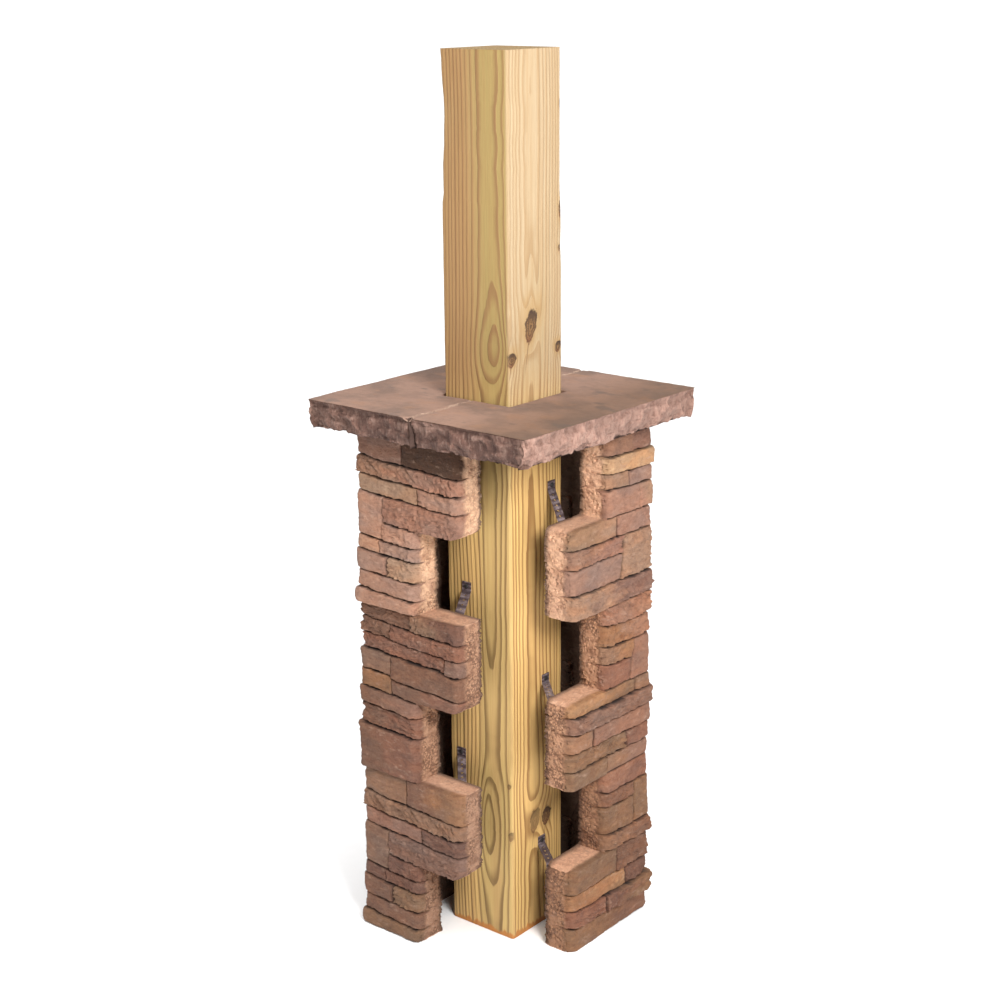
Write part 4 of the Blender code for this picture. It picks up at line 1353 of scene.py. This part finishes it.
def model_post():
    """Model the sawn post: a cube at its size, long edges eased, cut into short lengths."""
    deselect_all()
    bpy.ops.mesh.primitive_cube_add(size=1.0, location=(0, 0, 0))
    piece = bpy.context.object
    points = np.sign(points_of(piece)) * np.array((POST_SIDE / 2, POST_SIDE / 2, POST_HEIGHT / 2))
    points[:, 2] += POST_HEIGHT / 2
    move_points(piece, points)
    shape = edit_mesh(piece)
    bpy.ops.mesh.select_mode(type="EDGE")
    select_upright(piece, shape)
    bpy.ops.mesh.bevel(offset=EASED_EDGE * MM, segments=4, profile=0.5, affect="EDGES")
    select_upright(piece, bmesh.from_edit_mesh(piece.data))
    bpy.ops.mesh.subdivide(number_cuts=POST_CUTS)
    bpy.ops.object.mode_set(mode="OBJECT")
    points = points_of(piece)
    x, y, z = points.T
    half = POST_SIDE / 2
    corner = np.clip((np.abs(x) + np.abs(y)) / (2 * half), 0.0, 1.0) > 0.9
    wane = np.clip(layered(z / 110, np.sign(x) * 3 + np.sign(y) * 7, 5, 3) + 0.1, 0.0, 1.0) * 2.2
    saw = 0.25 * noise(z / 9, np.sign(x) * 2 + np.sign(y) * 5, 9)
    left_edge = (x < 0) & (y < 0)
    pull = np.where(corner, np.where(left_edge, 1.7, 0.8) * wane + np.abs(saw), 0.15 * np.abs(saw))
    points[:, 0] = x - np.sign(x) * pull
    points[:, 1] = y - np.sign(y) * pull
    move_points(piece, points)
    return piece


# Settings

class PanelSettings(bpy.types.PropertyGroup):
    """Looks of the cast panels."""

    grain_depth: FloatProperty(
        name="Grain depth", description="Depth of the sandy grain on the cast faces",
        default=0.0014, min=0.0, soft_max=0.003, unit="LENGTH",
    )
    seed: IntProperty(name="Colour seed", description="Changes the mottling of the stones", default=3)


class CapSettings(bpy.types.PropertyGroup):
    """Looks of the slab cap."""

    grain_depth: FloatProperty(
        name="Grain depth", description="Depth of the trowel marks and of the split edge's grain",
        default=0.0016, min=0.0, soft_max=0.003, unit="LENGTH",
    )


class PostSettings(bpy.types.PropertyGroup):
    """Looks of the timber post."""

    ring_width: FloatProperty(
        name="Ring width", description="Growth of the tree in a year",
        default=0.0057, min=0.001, soft_max=0.01, unit="LENGTH",
    )


class StageSettings(bpy.types.PropertyGroup):
    """The floor, the lights and the camera."""

    floor_colour: FloatVectorProperty(
        name="Floor colour", description="Colour of the plain studio floor",
        default=(0.95, 0.95, 0.95), subtype="COLOR", min=0.0, max=1.0,
    )
    floor_size: FloatProperty(
        name="Floor size", description="Width of the floor, past the edge of the view",
        default=400.0, min=1.0, unit="LENGTH",
    )
    key_power: FloatProperty(
        name="Key light", description="Power of the main soft light",
        default=70.0, min=0.0, unit="POWER",
    )
    fill_power: FloatProperty(
        name="Fill light", description="Power of the weaker light on the other side",
        default=7.0, min=0.0, unit="POWER",
    )
    sky_strength: FloatProperty(
        name="Sky", description="Strength of the white surround overhead", default=2.4, min=0.0,
    )
    dusk_strength: FloatProperty(
        name="Dusk", description="Strength of the surround between horizon and sky", default=0.06, min=0.0,
    )
    horizon_strength: FloatProperty(
        name="Horizon", description="Strength of the white surround at the horizon", default=1.0, min=0.0,
    )
    focal_length: FloatProperty(
        name="Focal length", description="Focal length on a sensor 36 mm wide",
        default=65.87, min=10.0, soft_max=200.0,
    )


# Operators

class COLUMNWRAP_OT_stage(bpy.types.Operator):
    """Set up the pale floor, the soft lights and the camera"""

    bl_idname = "column_wrap.stage"
    bl_label = "Stage"

    def execute(self, context):
        """Add the floor, two soft lights, the surround and the camera."""
        look = context.scene.column_wrap_stage
        deselect_all()
        bpy.ops.mesh.primitive_plane_add(size=look.floor_size, location=(0, 0, FLOOR_LEVEL))
        floor = bpy.context.object
        floor.name = "floor"
        floor.data.materials.append(floor_material(look.floor_colour))
        self.add_light("key", look.key_power, *KEY_LIGHT)
        self.add_light("fill", look.fill_power, *FILL_LIGHT)
        self.add_sky(context, look)
        context.scene.view_settings.view_transform = "Standard"
        self.add_camera(context, look.focal_length)
        return {"FINISHED"}

    def add_sky(self, context, look):
        """A white surround: a soft box overhead, a narrow white horizon and dim between."""
        world = bpy.data.worlds.new("surround")
        world.use_nodes = True
        nodes = world.node_tree.nodes
        links = world.node_tree.links
        place = nodes.new("ShaderNodeTexCoord")
        parts = nodes.new("ShaderNodeSeparateXYZ")
        both = nodes.new("ShaderNodeMath")
        links.new(place.outputs["Generated"], parts.inputs["Vector"])
        bands = (
            (*SKY_BAND, look.dusk_strength, look.sky_strength),
            (*HORIZON_BAND, look.horizon_strength, 0.0),
        )
        for index, (low, high, start, end) in enumerate(bands):
            rise = nodes.new("ShaderNodeMapRange")
            rise.interpolation_type = "SMOOTHSTEP"
            rise.inputs["From Min"].default_value = low
            rise.inputs["From Max"].default_value = high
            rise.inputs["To Min"].default_value = start
            rise.inputs["To Max"].default_value = end
            links.new(parts.outputs["Z"], rise.inputs["Value"])
            links.new(rise.outputs["Result"], both.inputs[index])
        links.new(both.outputs["Value"], nodes["Background"].inputs["Strength"])
        nodes["Background"].inputs["Color"].default_value = (1.0, 1.0, 1.0, 1.0)
        context.scene.world = world

    def add_light(self, name, power, size, place, aim):
        """Add a square soft light that looks at a point."""
        lamp = bpy.data.lights.new(name, "AREA")
        lamp.energy = power
        lamp.size = size
        item = bpy.data.objects.new(name, lamp)
        item.location = place
        item.rotation_euler = (Vector(aim) - Vector(place)).to_track_quat("-Z", "Y").to_euler()
        bpy.context.scene.collection.objects.link(item)

    def add_camera(self, context, focal_length):
        """Add the camera at the photograph's angle."""
        yaw, pitch, roll = CAMERA_TURN
        forward = Vector((
            -math.sin(yaw) * math.cos(pitch), math.cos(yaw) * math.cos(pitch), -math.sin(pitch),
        ))
        level = Vector((math.cos(yaw), math.sin(yaw), 0.0))
        upright = level.cross(forward)
        right = level * math.cos(roll) + upright * math.sin(roll)
        above = upright * math.cos(roll) - level * math.sin(roll)
        turn = Matrix((right, above, -forward)).transposed().to_4x4()
        lens = bpy.data.cameras.new("camera")
        lens.sensor_width = SENSOR_WIDTH
        lens.lens = focal_length
        camera = bpy.data.objects.new("camera", lens)
        camera.matrix_world = Matrix.Translation(CAMERA_PLACE) @ turn
        context.scene.collection.objects.link(camera)
        context.scene.camera = camera


class COLUMNWRAP_OT_post(bpy.types.Operator):
    """Build the timber post"""

    bl_idname = "column_wrap.post"
    bl_label = "Post"

    def execute(self, context):
        """Model the post and give it its grain."""
        material = pine_material(context.scene.column_wrap_post)
        finish_piece(model_post(), "timber_post", ["post"], material)
        return {"FINISHED"}


class COLUMNWRAP_OT_panels(bpy.types.Operator):
    """Build the three stacks of cast corner panels"""

    bl_idname = "column_wrap.panels"
    bl_label = "Panels"

    def execute(self, context):
        """Model each mould once and cast its panels from it."""
        look = context.scene.column_wrap_panels
        material = cast_stone_material(look)
        moulds = {}
        for stack_name, stack in STACKS.items():
            for module, mould_name in enumerate(stack.moulds):
                if mould_name not in moulds:
                    moulds[mould_name] = model_mould(mould_name)
                mould, facts = moulds[mould_name]
                node = "panel_%s_%d" % (stack_name, module + 1)
                piece = copy_piece(mould)
                seed = look.seed + module * 17 + facts["seed"]
                names = self.names(node, mould_name, seed)
                # The module's tone carries painted light and shade besides its colour
                tone = np.array(MODULE_TONES_AND_LIGHT[stack_name][module])
                colour_panel(piece, facts, names, tone, CAST_TONES_AND_LIGHT.get(node, 1.0), seed)
                place_panel(piece, node, stack, module)
                finish_piece(piece, "stone_" + node, [node], material)
        for mould, _ in moulds.values():
            bpy.data.objects.remove(mould, do_unlink=True)
        return {"FINISHED"}

    def names(self, node, mould_name, seed):
        """The tints of a panel's stones, in keeping where the photograph doesn't show them."""
        if node in COLOURS:
            return COLOURS[node]
        rng = random.Random(seed)
        common = ("pink", "brown", "tan", "rose", "grey", "olive", "lilac")
        return tuple(" ".join(rng.choice(common) for _ in range(4)) for _ in MOULDS[mould_name].bands)


class COLUMNWRAP_OT_cap(bpy.types.Operator):
    """Build the two halves of the slab cap"""

    bl_idname = "column_wrap.cap"
    bl_label = "Cap"

    def execute(self, context):
        """Model both halves."""
        material = cap_material(context.scene.column_wrap_cap)
        for side, node in ((-1, "cap_left_half"), (1, "cap_right_half")):
            finish_piece(model_cap_half(side), "slab_" + node, [node], material)
        return {"FINISHED"}


class COLUMNWRAP_OT_straps(bpy.types.Operator):
    """Finish the straps and their nails"""

    bl_idname = "column_wrap.straps"
    bl_label = "Straps and nails"

    def execute(self, context):
        """Give the solids of the straps and nails their metal."""
        strap = galvanised_material()
        nail = nail_material()
        for name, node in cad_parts.items():
            if name.startswith("strap_"):
                self.assign(node, strap)
            elif name.startswith("nail_"):
                self.assign(node, nail)
        return {"FINISHED"}

    def assign(self, node, material):
        """Put a material in all the slots of a CAD node."""
        for slot in node.material_slots:
            slot.link = "OBJECT"
            slot.material = material


class COLUMNWRAP_PT_sidebar(bpy.types.Panel):
    """The column wrap's panel in the sidebar"""

    bl_idname = "COLUMNWRAP_PT_sidebar"
    bl_label = "Column wrap"
    bl_space_type = "VIEW_3D"
    bl_region_type = "UI"
    bl_category = "Column wrap"

    def draw(self, context):
        """List the settings and the operators."""
        for settings, operator in STEPS:
            box = self.layout.box()
            group = getattr(context.scene, settings, None) if settings else None
            if group is not None:
                for name in group.bl_rna.properties.keys():
                    if name not in ("rna_type", "name"):
                        box.prop(group, name)
            box.operator(operator)


STEPS = (
    ("column_wrap_stage", "column_wrap.stage"),
    ("column_wrap_post", "column_wrap.post"),
    ("column_wrap_panels", "column_wrap.panels"),
    ("column_wrap_cap", "column_wrap.cap"),
    ("", "column_wrap.straps"),
)

SETTINGS = {
    "column_wrap_stage": StageSettings,
    "column_wrap_post": PostSettings,
    "column_wrap_panels": PanelSettings,
    "column_wrap_cap": CapSettings,
}

CLASSES = (
    PanelSettings,
    CapSettings,
    PostSettings,
    StageSettings,
    COLUMNWRAP_OT_stage,
    COLUMNWRAP_OT_post,
    COLUMNWRAP_OT_panels,
    COLUMNWRAP_OT_cap,
    COLUMNWRAP_OT_straps,
    COLUMNWRAP_PT_sidebar,
)


def register():
    """Register the classes and keep their settings on the scene."""
    for item in CLASSES:
        bpy.utils.register_class(item)
    for name, group in SETTINGS.items():
        setattr(bpy.types.Scene, name, PointerProperty(type=group))


def unregister():
    """Take the settings and the classes away."""
    for name in SETTINGS:
        delattr(bpy.types.Scene, name)
    for item in reversed(CLASSES):
        bpy.utils.unregister_class(item)


def main():
    """Build everything in order."""
    register()
    bpy.ops.column_wrap.stage()
    bpy.ops.column_wrap.post()
    bpy.ops.column_wrap.panels()
    bpy.ops.column_wrap.cap()
    bpy.ops.column_wrap.straps()


if __name__ == "__main__":
    main()
